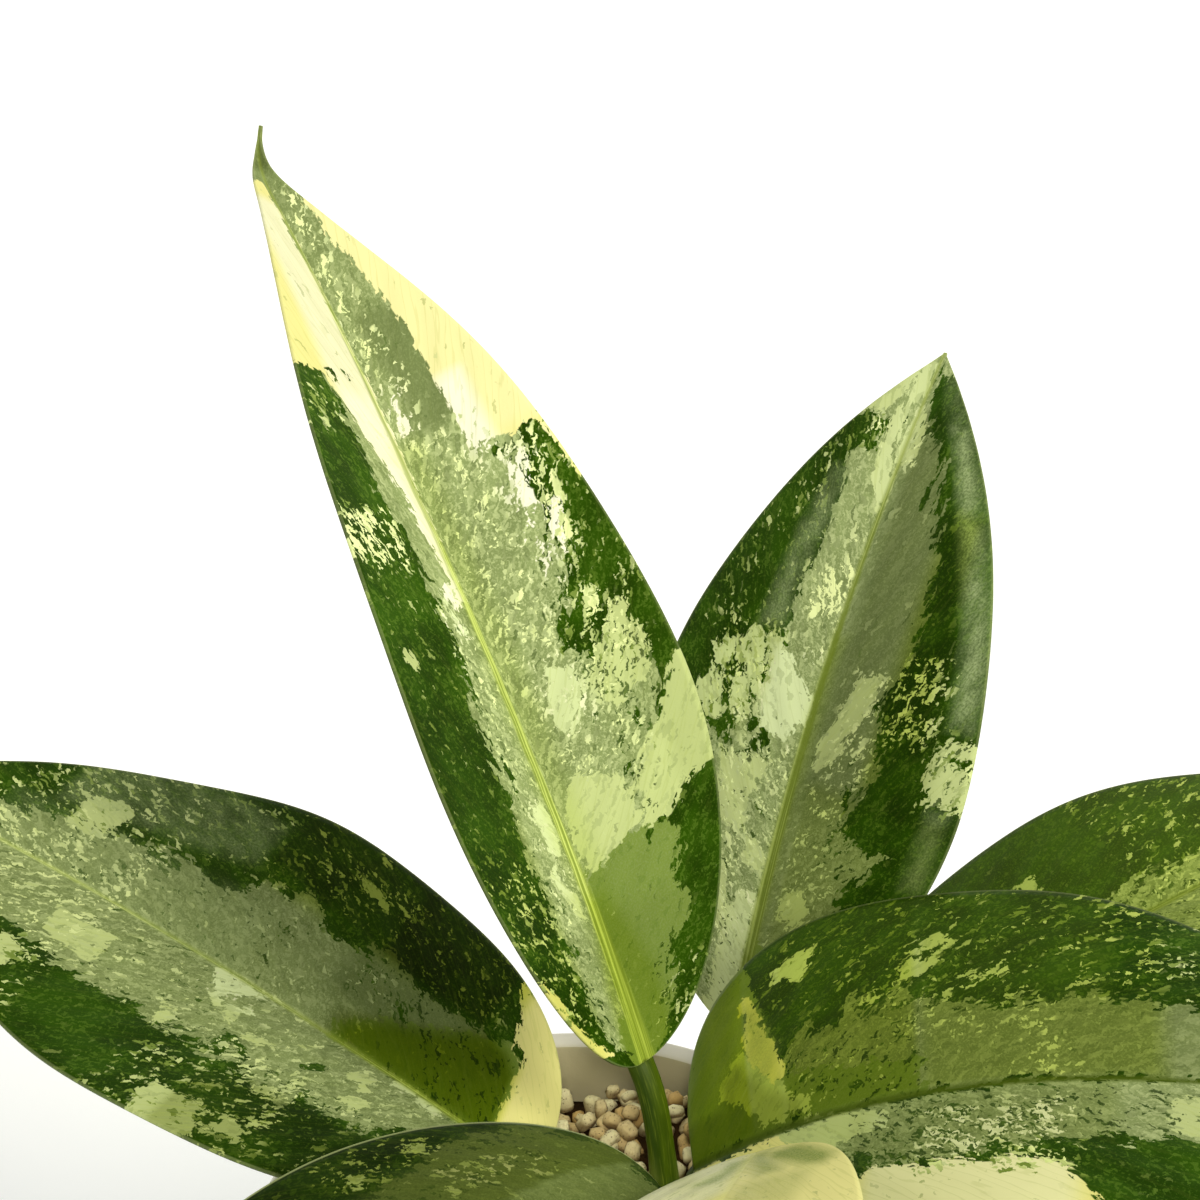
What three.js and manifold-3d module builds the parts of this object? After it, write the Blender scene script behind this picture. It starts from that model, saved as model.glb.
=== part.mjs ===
// Potted Chinese evergreen with cream and silver variegated leaves, in a plain round pot.
// Millimetres and degrees, +Z up, origin at the centre of the pot's flat base.
// The seven leaves grow from one short stem, which stands in a plain hole in the pumice.

import * as THREE from 'three';
import { mergeVertices } from 'three/addons/utils/BufferGeometryUtils.js';
import Module from 'manifold-3d';

const wasm = await Module();
wasm.setup();

// Clearance between pieces that touch on the real plant
const GAP = 0.3;

// Pot
const POT_HEIGHT = 114.3;
const POT_RIM_RADIUS = 58;
const POT_BASE_RADIUS = 42;
const POT_WALL = 3.6;
const POT_FLOOR = 5;
const POT_LIP_HEIGHT = 9;
const POT_LIP_PROUD = 1.6;
const POT_EDGE = 1.2;
const POT_SIDES = 44;
const DRAIN_COUNT = 3;
const DRAIN_RADIUS = 4.5;
const DRAIN_CIRCLE = 20;

// Pumice in the pot: a bed, heaped toward the back right, with coarse grains standing out of its top
const BED_TOP = 104;
const BED_SIDES = 36;
const HEAP_X = 24;
const HEAP_Y = 33;
const HEAP_RADIUS = 24;
const HEAP_HEIGHT = 6.5;
const GRAIN_COUNT = 200;
const GRAIN_SIZE = [3.4, 4.8];
const GRAIN_SUNK = 1.4;
const GRAIN_CLEAR_OF_STEM = 10;
const GRAIN_SEED = 20;

// Stem, a short upright cane with leaf scars
const STEM_X = 17.5;
const STEM_Y = -0.5;
const STEM_RADIUS = 4.5;
const STEM_FOOT = 72;
const STEM_TOP = 114;
const STEM_SCARS = [106, 108.5, 111];
const STEM_SIDES = 18;

// Leaf build
const BLADE_THICK = 0.9;
const BLADE_EDGE_THICK = 0.62;
const KEEL_DEPTH = [1.3, 0.2];
const TIP_HALF_WIDTH = 0.35;
const MIDRIB_STEPS = 160;
const BLADE_ROWS = 22;
const BLADE_COLUMNS = [-1, -0.78, -0.42, -0.08, 0, 0.08, 0.42, 0.78, 1];
const PETIOLE_SIDES = 12;
const PETIOLE_STEPS = 11;
const SHEATH_SHARE = 0.55;
const SHEATH_SPREAD = 1.5;
const HOOK_LENGTH = 0.1;

// Leaves from the youngest to the oldest. base is where the blade begins; azimuth, pitch, roll and fold
// run from the base of the blade to its tip; fold is how far each half is raised from the midrib and
// curl how far it bends back by the margin; widest, baseRound of the left and right half, and tipRound
// shape the outline. node is where the petiole grows from the stem: its azimuth round the stem, its
// height and its distance from the stem's axis. meets is the direction in which it reaches the blade.
const LEAVES = [
  {
    name: 'leaf_tall', base: [12.5, 7.5, 148], length: 192, halfWidth: 29.5,
    widest: 0.33, baseRound: [0.56, 0.66], tipRound: 1.39,
    azimuth: [136, 120], pitch: [67, 27], roll: [11, -5], fold: [31, 33], curl: 2,
    hook: [-48, 42], wave: 0.7, waves: 2.6, wavePhase: [40, 200],
    node: { azimuth: 120, height: 114.4, out: 0 }, petiole: 5.0, meets: [136, 67], handles: [11, 12],
  },
  {
    name: 'leaf_back_right', base: [31.4, 45.6, 123.9], length: 147.4, halfWidth: 35.4,
    widest: 0.38, baseRound: [0.66, 0.66], tipRound: 1.01,
    azimuth: [57, 58], pitch: [71, 37], roll: [8, 3], fold: [10, 12], curl: 19,
    hook: [0, 0], wave: 0.7, waves: 2.2, wavePhase: [90, 0],
    node: { azimuth: 52, height: 109.8, out: 5 }, petiole: 4.6, meets: [68, 29], handles: [12.5, 12],
  },
  {
    name: 'leaf_front', base: [29.5, -20.5, 153], length: 136, halfWidth: 28.5,
    widest: 0.42, baseRound: [0.42, 0.39], tipRound: 1.2,
    azimuth: [245, 268], pitch: [19, -45], roll: [-32, -15], fold: [9, 9], curl: 18,
    hook: [0, 0], wave: 0.8, waves: 2.4, wavePhase: [150, 30],
    node: { azimuth: 300, height: 109.5, out: 5 }, petiole: 4.5, meets: [290, 56], handles: [16, 10],
  },
  {
    name: 'leaf_right', base: [21.5, 5, 126], length: 153, halfWidth: 41.5,
    widest: 0.28, baseRound: [0.33, 0.8], tipRound: 1.09,
    azimuth: [-16, -12], pitch: [44, -23], roll: [-20, 2], fold: [15, 8], curl: 14,
    hook: [0, 0], wave: 0.9, waves: 2.5, wavePhase: [0, 120],
    node: { azimuth: 0, height: 107, out: 5 }, petiole: 4.6, meets: [10, 66], handles: [7, 5],
  },
  {
    name: 'leaf_front_left', base: [16.5, -14.5, 137], length: 144, halfWidth: 33,
    widest: 0.41, baseRound: [0.6, 0.46], tipRound: 1.2,
    azimuth: [210, 228], pitch: [13, -40], roll: [7, -1], fold: [15, 8], curl: 20,
    hook: [0, 0], wave: 0.8, waves: 2.3, wavePhase: [60, 180],
    node: { azimuth: 235, height: 108, out: 5 }, petiole: 4.6, meets: [235, 52], handles: [14, 8],
  },
  {
    name: 'leaf_left', base: [-7, 8.5, 122], length: 160, halfWidth: 39.5,
    widest: 0.4, baseRound: [0.55, 0.44], tipRound: 1.19,
    azimuth: [153, 158], pitch: [21, 14], roll: [2, 10], fold: [19, 8], curl: 10,
    hook: [0, 0], wave: 0.9, waves: 2.7, wavePhase: [100, 10],
    node: { azimuth: 150, height: 106.6, out: 5 }, petiole: 4.8, meets: [155, 25], handles: [11, 9],
  },
  {
    name: 'leaf_far_right', base: [50, 20.5, 123.5], length: 148, halfWidth: 34,
    widest: 0.43, baseRound: [0.54, 0.54], tipRound: 1.16,
    azimuth: [22, 19], pitch: [32, 3], roll: [1, -1], fold: [12, 12], curl: 15,
    hook: [0, 0], wave: 0.8, waves: 2.2, wavePhase: [20, 150],
    node: { azimuth: 45, height: 106.4, out: 5 }, petiole: 4.6, meets: [28, 34], handles: [11, 14],
  },
];

const radians = THREE.MathUtils.degToRad;
const between = THREE.MathUtils.lerp;

// Joins and cuts
function toSolid(geometry) {
  const bare = geometry.clone();
  bare.deleteAttribute('normal');
  bare.deleteAttribute('uv');
  const merged = mergeVertices(bare, 1e-4);
  const vertProperties = new Float32Array(merged.attributes.position.array);
  const triVerts = new Uint32Array(merged.index.array);
  return new wasm.Manifold(new wasm.Mesh({ numProp: 3, vertProperties, triVerts }));
}

function toGeometry(solid) {
  const mesh = solid.getMesh();
  const geometry = new THREE.BufferGeometry();
  geometry.setAttribute('position', new THREE.BufferAttribute(mesh.vertProperties, 3));
  geometry.setIndex(new THREE.BufferAttribute(mesh.triVerts, 1));
  geometry.computeVertexNormals();
  return geometry;
}

// Repeatable random numbers from 0 to 1
function seededRandom(seed) {
  let state = seed;
  return () => {
    state = (state * 1664525 + 1013904223) % 4294967296;
    return state / 4294967296;
  };
}

// A solid of revolution round +Z from radius and height pairs that start and end on the axis
function turned(profile, sides) {
  const geometry = new THREE.LatheGeometry(profile.map(([r, z]) => new THREE.Vector2(r, z)), sides);
  return geometry.rotateX(Math.PI / 2);
}

function upright(radius, low, high, x, y, sides) {
  const geometry = new THREE.CylinderGeometry(radius, radius, high - low, sides);
  return geometry.rotateX(Math.PI / 2).translate(x, y, (low + high) / 2);
}

// Pot: a tapered bowl with a lip, a flat base and drain holes round its middle
function potWallRadius(z) {
  return between(POT_BASE_RADIUS, POT_RIM_RADIUS - POT_LIP_PROUD, z / POT_HEIGHT);
}

function potGeometry() {
  const lipFoot = POT_HEIGHT - POT_LIP_HEIGHT;
  const rimInner = potWallRadius(POT_HEIGHT) - POT_WALL;
  const profile = [
    [0, 0],
    [POT_BASE_RADIUS - POT_EDGE, 0],
    [POT_BASE_RADIUS, POT_EDGE],
    [potWallRadius(lipFoot - POT_LIP_PROUD), lipFoot - POT_LIP_PROUD],
    [POT_RIM_RADIUS, lipFoot],
    [POT_RIM_RADIUS, POT_HEIGHT - POT_EDGE],
    [POT_RIM_RADIUS - POT_EDGE / 2, POT_HEIGHT - POT_EDGE / 3],
    [POT_RIM_RADIUS - POT_EDGE * 1.5, POT_HEIGHT],
    [rimInner + POT_EDGE, POT_HEIGHT],
    [rimInner, POT_HEIGHT - POT_EDGE],
    [potWallRadius(POT_FLOOR) - POT_WALL, POT_FLOOR + POT_EDGE],
    [potWallRadius(POT_FLOOR) - POT_WALL - POT_EDGE, POT_FLOOR],
    [0, POT_FLOOR],
  ];
  let pot = toSolid(turned(profile, POT_SIDES));
  for (let i = 0; i < DRAIN_COUNT; i += 1) {
    const angle = (2 * Math.PI * i) / DRAIN_COUNT;
    const x = DRAIN_CIRCLE * Math.cos(angle);
    const y = DRAIN_CIRCLE * Math.sin(angle);
    pot = pot.subtract(toSolid(upright(DRAIN_RADIUS, -1, POT_FLOOR + 1, x, y, 14)));
  }
  return toGeometry(pot);
}

// Pumice: a tapered bed that fills the pot, with rough grains sunk into its top and a hole for the stem
function bedRadius(z) {
  const fit = Math.cos(Math.PI / POT_SIDES);
  return (potWallRadius(z) - POT_WALL - 2 * GAP) * fit;
}

// Height of the heap above the bed's level top
function heapHeight(x, y) {
  const share = Math.hypot(x - HEAP_X, y - HEAP_Y) / HEAP_RADIUS;
  return share < 1 ? HEAP_HEIGHT * Math.sqrt(1 - share ** 2) : 0;
}

function heapSolid() {
  const dome = new THREE.SphereGeometry(1, 20, 10).scale(HEAP_RADIUS, HEAP_RADIUS, HEAP_HEIGHT);
  const bounds = new THREE.CylinderGeometry(bedRadius(BED_TOP), bedRadius(BED_TOP), 30, BED_SIDES);
  const inside = bounds.rotateX(Math.PI / 2).translate(0, 0, BED_TOP);
  return toSolid(dome.translate(HEAP_X, HEAP_Y, BED_TOP)).intersect(toSolid(inside));
}

function grain(random, x, y) {
  const geometry = new THREE.OctahedronGeometry(1, 0);
  const size = between(...GRAIN_SIZE, random());
  const turn = new THREE.Euler(random() * Math.PI, random() * Math.PI, random() * Math.PI);
  geometry.scale(size, size * between(0.65, 0.95, random()), size * between(0.6, 0.8, random()));
  geometry.applyMatrix4(new THREE.Matrix4().makeRotationFromEuler(turn));
  return geometry.translate(x, y, BED_TOP + heapHeight(x, y) - GRAIN_SUNK + random() * 0.9);
}

function pumiceGeometry() {
  const random = seededRandom(GRAIN_SEED);
  const bedFoot = POT_FLOOR + GAP;
  const profile = [
    [0, bedFoot],
    [bedRadius(bedFoot) - POT_EDGE, bedFoot],
    [bedRadius(bedFoot + POT_EDGE), bedFoot + POT_EDGE],
    [bedRadius(BED_TOP), BED_TOP],
    [0, BED_TOP],
  ];
  const reach = bedRadius(BED_TOP) - GRAIN_SIZE[1];
  const goldenAngle = Math.PI * (3 - Math.sqrt(5));
  const parts = [toSolid(turned(profile, BED_SIDES)), heapSolid()];
  for (let i = 0; i < GRAIN_COUNT; i += 1) {
    const ring = reach * Math.sqrt((i + 0.5) / GRAIN_COUNT);
    const x = ring * Math.cos(i * goldenAngle) + random() * 1.2;
    const y = ring * Math.sin(i * goldenAngle) + random() * 1.2;
    const stone = grain(random, x, y);
    if (Math.hypot(x - STEM_X, y - STEM_Y) > GRAIN_CLEAR_OF_STEM) parts.push(toSolid(stone));
  }
  const hole = upright(STEM_RADIUS + 2 * GAP, STEM_FOOT - GAP, BED_TOP + 10, STEM_X, STEM_Y, STEM_SIDES);
  return toGeometry(wasm.Manifold.union(parts).subtract(toSolid(hole)));
}

// Stem, grown by a clearance where it cuts the seats of the leaves
function stemGeometry(grow) {
  const profile = [[0, STEM_FOOT - grow], [STEM_RADIUS - 1 + grow, STEM_FOOT - grow]];
  profile.push([STEM_RADIUS - 0.4 + grow, STEM_FOOT + 2]);
  for (const scar of STEM_SCARS) {
    profile.push([STEM_RADIUS - 0.35 + grow, scar - 0.5]);
    profile.push([STEM_RADIUS + grow, scar]);
    profile.push([STEM_RADIUS - 0.35 + grow, scar + 0.5]);
  }
  profile.push([STEM_RADIUS - 0.7 + grow, STEM_TOP - 1]);
  profile.push([STEM_RADIUS - 1.8 + grow, STEM_TOP + grow]);
  profile.push([0, STEM_TOP + grow]);
  return turned(profile, STEM_SIDES).translate(STEM_X, STEM_Y, 0);
}

// Midrib: points along it, each with its direction, the leaf's right side and the upper face's normal
function midrib(leaf) {
  const frames = [];
  const place = new THREE.Vector3(...leaf.base);
  const step = leaf.length / MIDRIB_STEPS;
  let before = null;
  for (let i = 0; i <= MIDRIB_STEPS; i += 1) {
    const s = i / MIDRIB_STEPS;
    const hook = Math.max(0, (s - 1 + HOOK_LENGTH) / HOOK_LENGTH) ** 2;
    const azimuth = radians(between(...leaf.azimuth, s) + leaf.hook[0] * hook);
    const pitch = radians(between(...leaf.pitch, s) + leaf.hook[1] * hook);
    const roll = radians(between(...leaf.roll, s));
    const flat = Math.cos(pitch);
    const along = new THREE.Vector3(flat * Math.cos(azimuth), flat * Math.sin(azimuth), Math.sin(pitch));
    const level = new THREE.Vector3(Math.sin(azimuth), -Math.cos(azimuth), 0);
    const face = new THREE.Vector3().crossVectors(level, along);
    const right = level.clone().multiplyScalar(Math.cos(roll)).addScaledVector(face, Math.sin(roll));
    const normal = face.multiplyScalar(Math.cos(roll)).addScaledVector(level, -Math.sin(roll));
    if (before) place.addScaledVector(before, step / 2).addScaledVector(along, step / 2);
    frames.push({ s, place: place.clone(), along, right, normal });
    before = along;
  }
  return frames;
}

function halfWidth(leaf, s, across) {
  const towardTip = Math.max(0, (s - leaf.widest) / (1 - leaf.widest));
  const towardBase = Math.max(0, (leaf.widest - s) / leaf.widest);
  const tip = Math.max(0, 1 - towardTip ** 2) ** leaf.tipRound;
  const base = Math.max(0, 1 - towardBase ** 2) ** leaf.baseRound[across < 0 ? 0 : 1];
  return Math.max(TIP_HALF_WIDTH, leaf.halfWidth * tip * base);
}

// A point of the blade, from its midrib frame and its place across, -1 at the left margin and 1 at the
// right one, raised or lowered from the middle of its thickness
function bladePoint(leaf, frame, across, level) {
  const side = across < 0 ? -1 : 1;
  const share = Math.abs(across);
  const reach = halfWidth(leaf, frame.s, across);
  const start = radians(between(...leaf.fold, frame.s));
  const bend = radians(leaf.curl);
  const end = start - bend * share;
  const phase = radians(leaf.wavePhase[across < 0 ? 0 : 1]);
  const calm = Math.sqrt(Math.sin(Math.PI * frame.s));
  const ripple = leaf.wave * Math.sin(2 * Math.PI * leaf.waves * frame.s + phase) * share ** 2 * calm;
  const out = ((Math.sin(start) - Math.sin(end)) / bend) * reach;
  const up = ((Math.cos(end) - Math.cos(start)) / bend) * reach + ripple;
  const lean = share > 0 ? end : 0;
  return frame.place.clone()
    .addScaledVector(frame.right, side * (out - level * Math.sin(lean)))
    .addScaledVector(frame.normal, up + level * Math.cos(lean));
}

// Blade: one grid for the upper face and the same triangles for the lower, joined round the margin
function bladeGeometry(leaf, frames) {
  const columns = BLADE_COLUMNS.length;
  const grid = new THREE.PlaneGeometry(2, 1, columns - 1, BLADE_ROWS);
  const faces = [...grid.index.array];
  const points = [];
  for (const upper of [true, false]) {
    for (let row = 0; row <= BLADE_ROWS; row += 1) {
      const u = 1 - row / BLADE_ROWS;
      const s = between(u, (1 - Math.cos(Math.PI * u)) / 2, 0.6);
      const frame = frames[Math.round(s * MIDRIB_STEPS)];
      for (const across of BLADE_COLUMNS) {
        const thick = between(BLADE_THICK, BLADE_EDGE_THICK, across ** 2) / 2;
        const keel = across === 0 ? between(...KEEL_DEPTH, frame.s) : 0;
        points.push(...bladePoint(leaf, frame, across, upper ? thick : -thick - keel).toArray());
      }
    }
  }
  const lower = columns * (BLADE_ROWS + 1);
  const margin = [];
  for (let i = 0; i < columns - 1; i += 1) margin.push(BLADE_ROWS * columns + i);
  for (let i = BLADE_ROWS; i > 0; i -= 1) margin.push(i * columns + columns - 1);
  for (let i = columns - 1; i > 0; i -= 1) margin.push(i);
  for (let i = 0; i < BLADE_ROWS; i += 1) margin.push(i * columns);
  const index = [...faces];
  for (let i = 0; i < faces.length; i += 3) {
    index.push(faces[i] + lower, faces[i + 2] + lower, faces[i + 1] + lower);
  }
  margin.forEach((a, i) => {
    const b = margin[(i + 1) % margin.length];
    index.push(b, a, a + lower, b, a + lower, b + lower);
  });
  const geometry = new THREE.BufferGeometry();
  geometry.setAttribute('position', new THREE.Float32BufferAttribute(points, 3));
  geometry.setIndex(index);
  return geometry;
}

// A direction from its azimuth and its pitch above the level
function heading(azimuth, pitch) {
  const flat = Math.cos(radians(pitch));
  const turn = radians(azimuth);
  return new THREE.Vector3(flat * Math.cos(turn), flat * Math.sin(turn), Math.sin(radians(pitch)));
}

// Petiole: a stalk that clasps the stem as a broad sheath, narrows, and runs out under the midrib
function petiolePath(leaf, frames) {
  const node = leaf.node;
  const outward = heading(node.azimuth, 0);
  const start = new THREE.Vector3(STEM_X, STEM_Y, node.height).addScaledVector(outward, node.out);
  const first = frames[0];
  const curve = new THREE.CubicBezierCurve3(
    start,
    start.clone().addScaledVector(heading(node.azimuth, 76), leaf.handles[0]),
    first.place.clone().addScaledVector(heading(...leaf.meets), -leaf.handles[1]),
    first.place.clone(),
  );
  const path = [];
  for (let i = 0; i < PETIOLE_STEPS; i += 1) {
    const u = i / (PETIOLE_STEPS - 1);
    const along = curve.getTangent(u);
    const normal = outward.clone().negate().lerp(first.normal, u);
    normal.addScaledVector(along, -normal.dot(along)).normalize();
    const right = new THREE.Vector3().crossVectors(along, normal);
    path.push({ place: curve.getPoint(u), along, right, normal, u });
  }
  for (const s of [0.03, 0.08]) {
    const frame = frames[Math.round(s * MIDRIB_STEPS)];
    path.push({ ...frame, place: frame.place.clone().addScaledVector(frame.normal, -0.6), u: 1 + s });
  }
  return path;
}

// Half width, half depth and curvature of the petiole's section at a share u of its length
function petioleSection(leaf, u) {
  const stalk = leaf.petiole / 2;
  if (u > 1) {
    const run = (u - 1) / 0.08;
    return { wide: stalk * between(0.95, 0.3, run), deep: stalk * between(0.7, 0.25, run), wrap: 0 };
  }
  const sheath = Math.max(0, 1 - u / SHEATH_SHARE) ** 1.3;
  const clasps = leaf.node.out > 0;
  const wide = stalk * (1 + (clasps ? SHEATH_SPREAD : 0.5) * sheath);
  const deep = stalk * between(0.88, clasps ? 0.6 : 1.3, sheath);
  return { wide, deep, wrap: clasps ? sheath / (STEM_RADIUS + 1) : 0 };
}

function petioleGeometry(leaf, frames, grow) {
  const path = petiolePath(leaf, frames);
  const geometry = new THREE.CylinderGeometry(1, 1, 1, PETIOLE_SIDES, path.length - 1);
  const position = geometry.attributes.position;
  for (let i = 0; i < position.count; i += 1) {
    const frame = path[Math.round((position.getY(i) + 0.5) * (path.length - 1))];
    const { wide, deep, wrap } = petioleSection(leaf, frame.u);
    const flat = position.getZ(i) > 0 ? 0.7 : 1;
    let across = position.getX(i) * (wide + grow);
    let depth = position.getZ(i) * (deep + grow) * flat;
    if (wrap > 0) {
      const round = 1 / wrap - depth;
      depth = 1 / wrap - round * Math.cos(across * wrap);
      across = round * Math.sin(across * wrap);
    }
    const point = frame.place.clone().addScaledVector(frame.right, across);
    point.addScaledVector(frame.normal, depth);
    position.setXYZ(i, point.x, point.y, point.z);
  }
  return geometry;
}

// Materials
function finish(name, color, roughness) {
  return new THREE.MeshStandardMaterial({ name, color, roughness, metalness: 0 });
}

const POT_WHITE = finish('pot_white', 0xe9e7e1, 0.35);
const PUMICE = finish('pumice', 0xd9c6a4, 0.95);
const STEM_GREEN = finish('stem_green', 0x5f7a2c, 0.5);
const LEAF_GREEN = finish('leaf_variegated', 0x6f8f4e, 0.35);

const evergreen = new THREE.Group();

function addPiece(name, geometry, material) {
  const mesh = new THREE.Mesh(geometry, material);
  mesh.name = name;
  evergreen.add(mesh);
}

addPiece('pot', potGeometry(), POT_WHITE);
addPiece('pumice', pumiceGeometry(), PUMICE);
addPiece('stem', stemGeometry(0), STEM_GREEN);

// Each leaf is one grown piece, cut clear of the stem and of the younger petioles that it clasps
const seats = [toSolid(stemGeometry(GAP))];
for (const leaf of LEAVES) {
  const frames = midrib(leaf);
  let grown = toSolid(bladeGeometry(leaf, frames)).add(toSolid(petioleGeometry(leaf, frames, 0)));
  for (const seat of seats) grown = grown.subtract(seat);
  addPiece(leaf.name, toGeometry(grown), LEAF_GREEN);
  seats.push(toSolid(petioleGeometry(leaf, frames, GAP)));
}

export default evergreen;
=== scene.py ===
# %% [markdown]
# # A potted Chinese evergreen
# This lesson dresses a ready-made solid model of a house plant: seven marbled leaves on a short
# stem, standing in pumice in a plain round pot. The solids come first, as a fixed frame. Each piece
# made here lies where its solid lies, so nothing has to be fitted by eye.

# %% Load the frame
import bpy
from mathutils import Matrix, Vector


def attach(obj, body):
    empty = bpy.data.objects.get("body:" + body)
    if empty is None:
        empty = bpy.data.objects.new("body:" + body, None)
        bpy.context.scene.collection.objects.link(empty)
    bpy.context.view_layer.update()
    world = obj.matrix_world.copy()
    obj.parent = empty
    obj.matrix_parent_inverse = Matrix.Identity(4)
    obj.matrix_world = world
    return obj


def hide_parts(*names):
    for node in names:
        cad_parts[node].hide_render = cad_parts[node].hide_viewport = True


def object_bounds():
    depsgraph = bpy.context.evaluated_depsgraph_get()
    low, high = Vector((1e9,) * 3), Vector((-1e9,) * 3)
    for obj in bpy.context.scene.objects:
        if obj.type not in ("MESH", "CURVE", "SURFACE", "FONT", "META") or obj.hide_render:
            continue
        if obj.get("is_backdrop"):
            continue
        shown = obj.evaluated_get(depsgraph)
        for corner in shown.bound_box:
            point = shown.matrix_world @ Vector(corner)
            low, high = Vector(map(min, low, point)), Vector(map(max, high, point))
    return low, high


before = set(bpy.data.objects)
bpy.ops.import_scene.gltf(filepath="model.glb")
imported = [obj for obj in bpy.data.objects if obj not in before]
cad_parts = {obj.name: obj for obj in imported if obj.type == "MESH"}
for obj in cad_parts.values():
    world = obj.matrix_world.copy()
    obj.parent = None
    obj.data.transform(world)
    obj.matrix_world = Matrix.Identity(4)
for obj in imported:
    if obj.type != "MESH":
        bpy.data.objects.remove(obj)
cad_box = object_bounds()
print("solids:", ", ".join(sorted(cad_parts)))

# %% Tools used below
import bmesh
import bpy
import math
import numpy as np
import random
from mathutils import Euler, Matrix, Vector

MM = 0.001
print("Blender", bpy.app.version_string)

# %% [markdown]
# ## Helpers for pieces and finishes
# Every piece ends the same way: its mesh becomes an object at the origin, rides on the plant's one
# body, takes its materials and stands for its solid, which is hidden. One helper keeps that in one place.
# The finishes are node trees. Placing and linking nodes by hand takes many lines, so a small class
# does both, and each finish then reads like a short recipe, in which g is the graph in hand.

# %% Finish a piece
scene = bpy.context.scene


def finish_piece(name, bm, materials, slot, node):
    """Turns a bmesh in metres into a smooth-shaded piece that stands for a solid."""
    mesh = bpy.data.meshes.new(name)
    bm.to_mesh(mesh)
    bm.free()
    for material in materials:
        mesh.materials.append(material)
    mesh.shade_smooth()
    piece = bpy.data.objects.new(name, mesh)
    scene.collection.objects.link(piece)
    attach(piece, "root")
    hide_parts(node)
    return piece


print("pieces are linked to the collection", scene.collection.name)


# %% Place nodes and join them
class Graph:
    """Adds nodes to a node tree and links what is given to their sockets."""

    def __init__(self, tree):
        self.tree = tree

    def add(self, kind, inputs=None, **settings):
        node = self.tree.nodes.new(kind)
        for key, value in settings.items():
            setattr(node, key, value)
        for key, value in (inputs or {}).items():
            self.give(node.inputs[key], value)
        return node

    def give(self, socket, value):
        if isinstance(value, bpy.types.NodeSocket):
            self.tree.links.new(value, socket)
        else:
            socket.default_value = value

    def math(self, operation, a, b=0.0, clamp=False):
        node = self.add("ShaderNodeMath", {0: a, 1: b}, operation=operation, use_clamp=clamp)
        return node.outputs[0]

    def vector_math(self, operation, a, b, output="Vector"):
        return self.add("ShaderNodeVectorMath", {0: a, 1: b}, operation=operation).outputs[output]

    def blend(self, share, under, over, mode="MIX"):
        node = self.add("ShaderNodeMix", data_type="RGBA", blend_type=mode)
        self.give(node.inputs["Factor"], share)
        self.give(node.inputs["A"], under)
        self.give(node.inputs["B"], over)
        return node.outputs["Result"]

    def ramp(self, value, low, high, to_low=0.0, to_high=1.0, smooth=True):
        kind = "SMOOTHSTEP" if smooth else "LINEAR"
        node = self.add("ShaderNodeMapRange", {"Value": value, "From Min": low, "From Max": high,
                                               "To Min": to_low, "To Max": to_high},
                        interpolation_type=kind)
        return node.outputs["Result"]

    def noise(self, vector, scale, detail=2.0, rough=0.5):
        node = self.add("ShaderNodeTexNoise", {"Vector": vector, "Scale": scale, "Detail": detail,
                                               "Roughness": rough})
        return node.outputs["Fac"]

    def bump(self, shader, height, strength, distance):
        node = self.add("ShaderNodeBump", {"Height": height, "Strength": strength, "Distance": distance})
        self.give(shader.inputs["Normal"], node.outputs["Normal"])

    def attribute(self, name):
        return self.add("ShaderNodeAttribute", attribute_name=name).outputs["Fac"]

    def stretch(self, vector, scale, shift=(0, 0, 0)):
        node = self.add("ShaderNodeMapping", {"Vector": vector, "Scale": scale, "Location": shift})
        return node.outputs["Vector"]


def new_group(name, inputs, outputs):
    """A shader node group with named sockets, given as (name, kind, default) and (name, kind)."""
    group = bpy.data.node_groups.new(name, "ShaderNodeTree")
    for label, kind, value in inputs:
        group.interface.new_socket(label, in_out="INPUT", socket_type=kind).default_value = value
    for label, kind in outputs:
        group.interface.new_socket(label, in_out="OUTPUT", socket_type=kind)
    graph = Graph(group)
    return group, graph, graph.add("NodeGroupInput").outputs, graph.add("NodeGroupOutput").inputs


def new_material(name, roughness, **settings):
    """A material with its Principled BSDF and constants set on the shader's own sockets."""
    material = bpy.data.materials.new(name)
    material.use_nodes = True
    shader = material.node_tree.nodes["Principled BSDF"]
    shader.inputs["Roughness"].default_value = roughness
    for socket, value in settings.items():
        shader.inputs[socket.replace("_", " ")].default_value = value
    return material, Graph(material.node_tree), shader


print("a recipe can", ", ".join(name for name in vars(Graph) if not name.startswith("_")))


# %% [markdown]
# ## Camera, floor and light
# The plant is looked at from a little above, close by, with a normal lens. The camera goes in
# first, because every later choice is judged through it. The floor is wide and nearly white, and
# the light is a bright even sky with one broad soft sun, as beside a big window. The leaves shade
# the pumice between them, so a narrow soft lamp at the camera's place reaches into the pot.

# %% Camera
CAMERA_PLACE = (0.005, -0.221, 0.336)
CAMERA_TILT = 66
LENS = 50
SENSOR_WIDTH = 36
CAMERA_REACH = 50
camera = bpy.data.objects.new("camera", bpy.data.cameras.new("camera"))
camera.data.lens = LENS
camera.data.sensor_width = SENSOR_WIDTH
camera.data.clip_end = CAMERA_REACH
camera.location = CAMERA_PLACE
camera.rotation_euler = (math.radians(CAMERA_TILT), 0, 0)
scene.collection.objects.link(camera)
scene.camera = camera
scene.view_settings.view_transform = "Standard"
print("camera stands", round(camera.location.z / MM), "mm above the floor")

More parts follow.
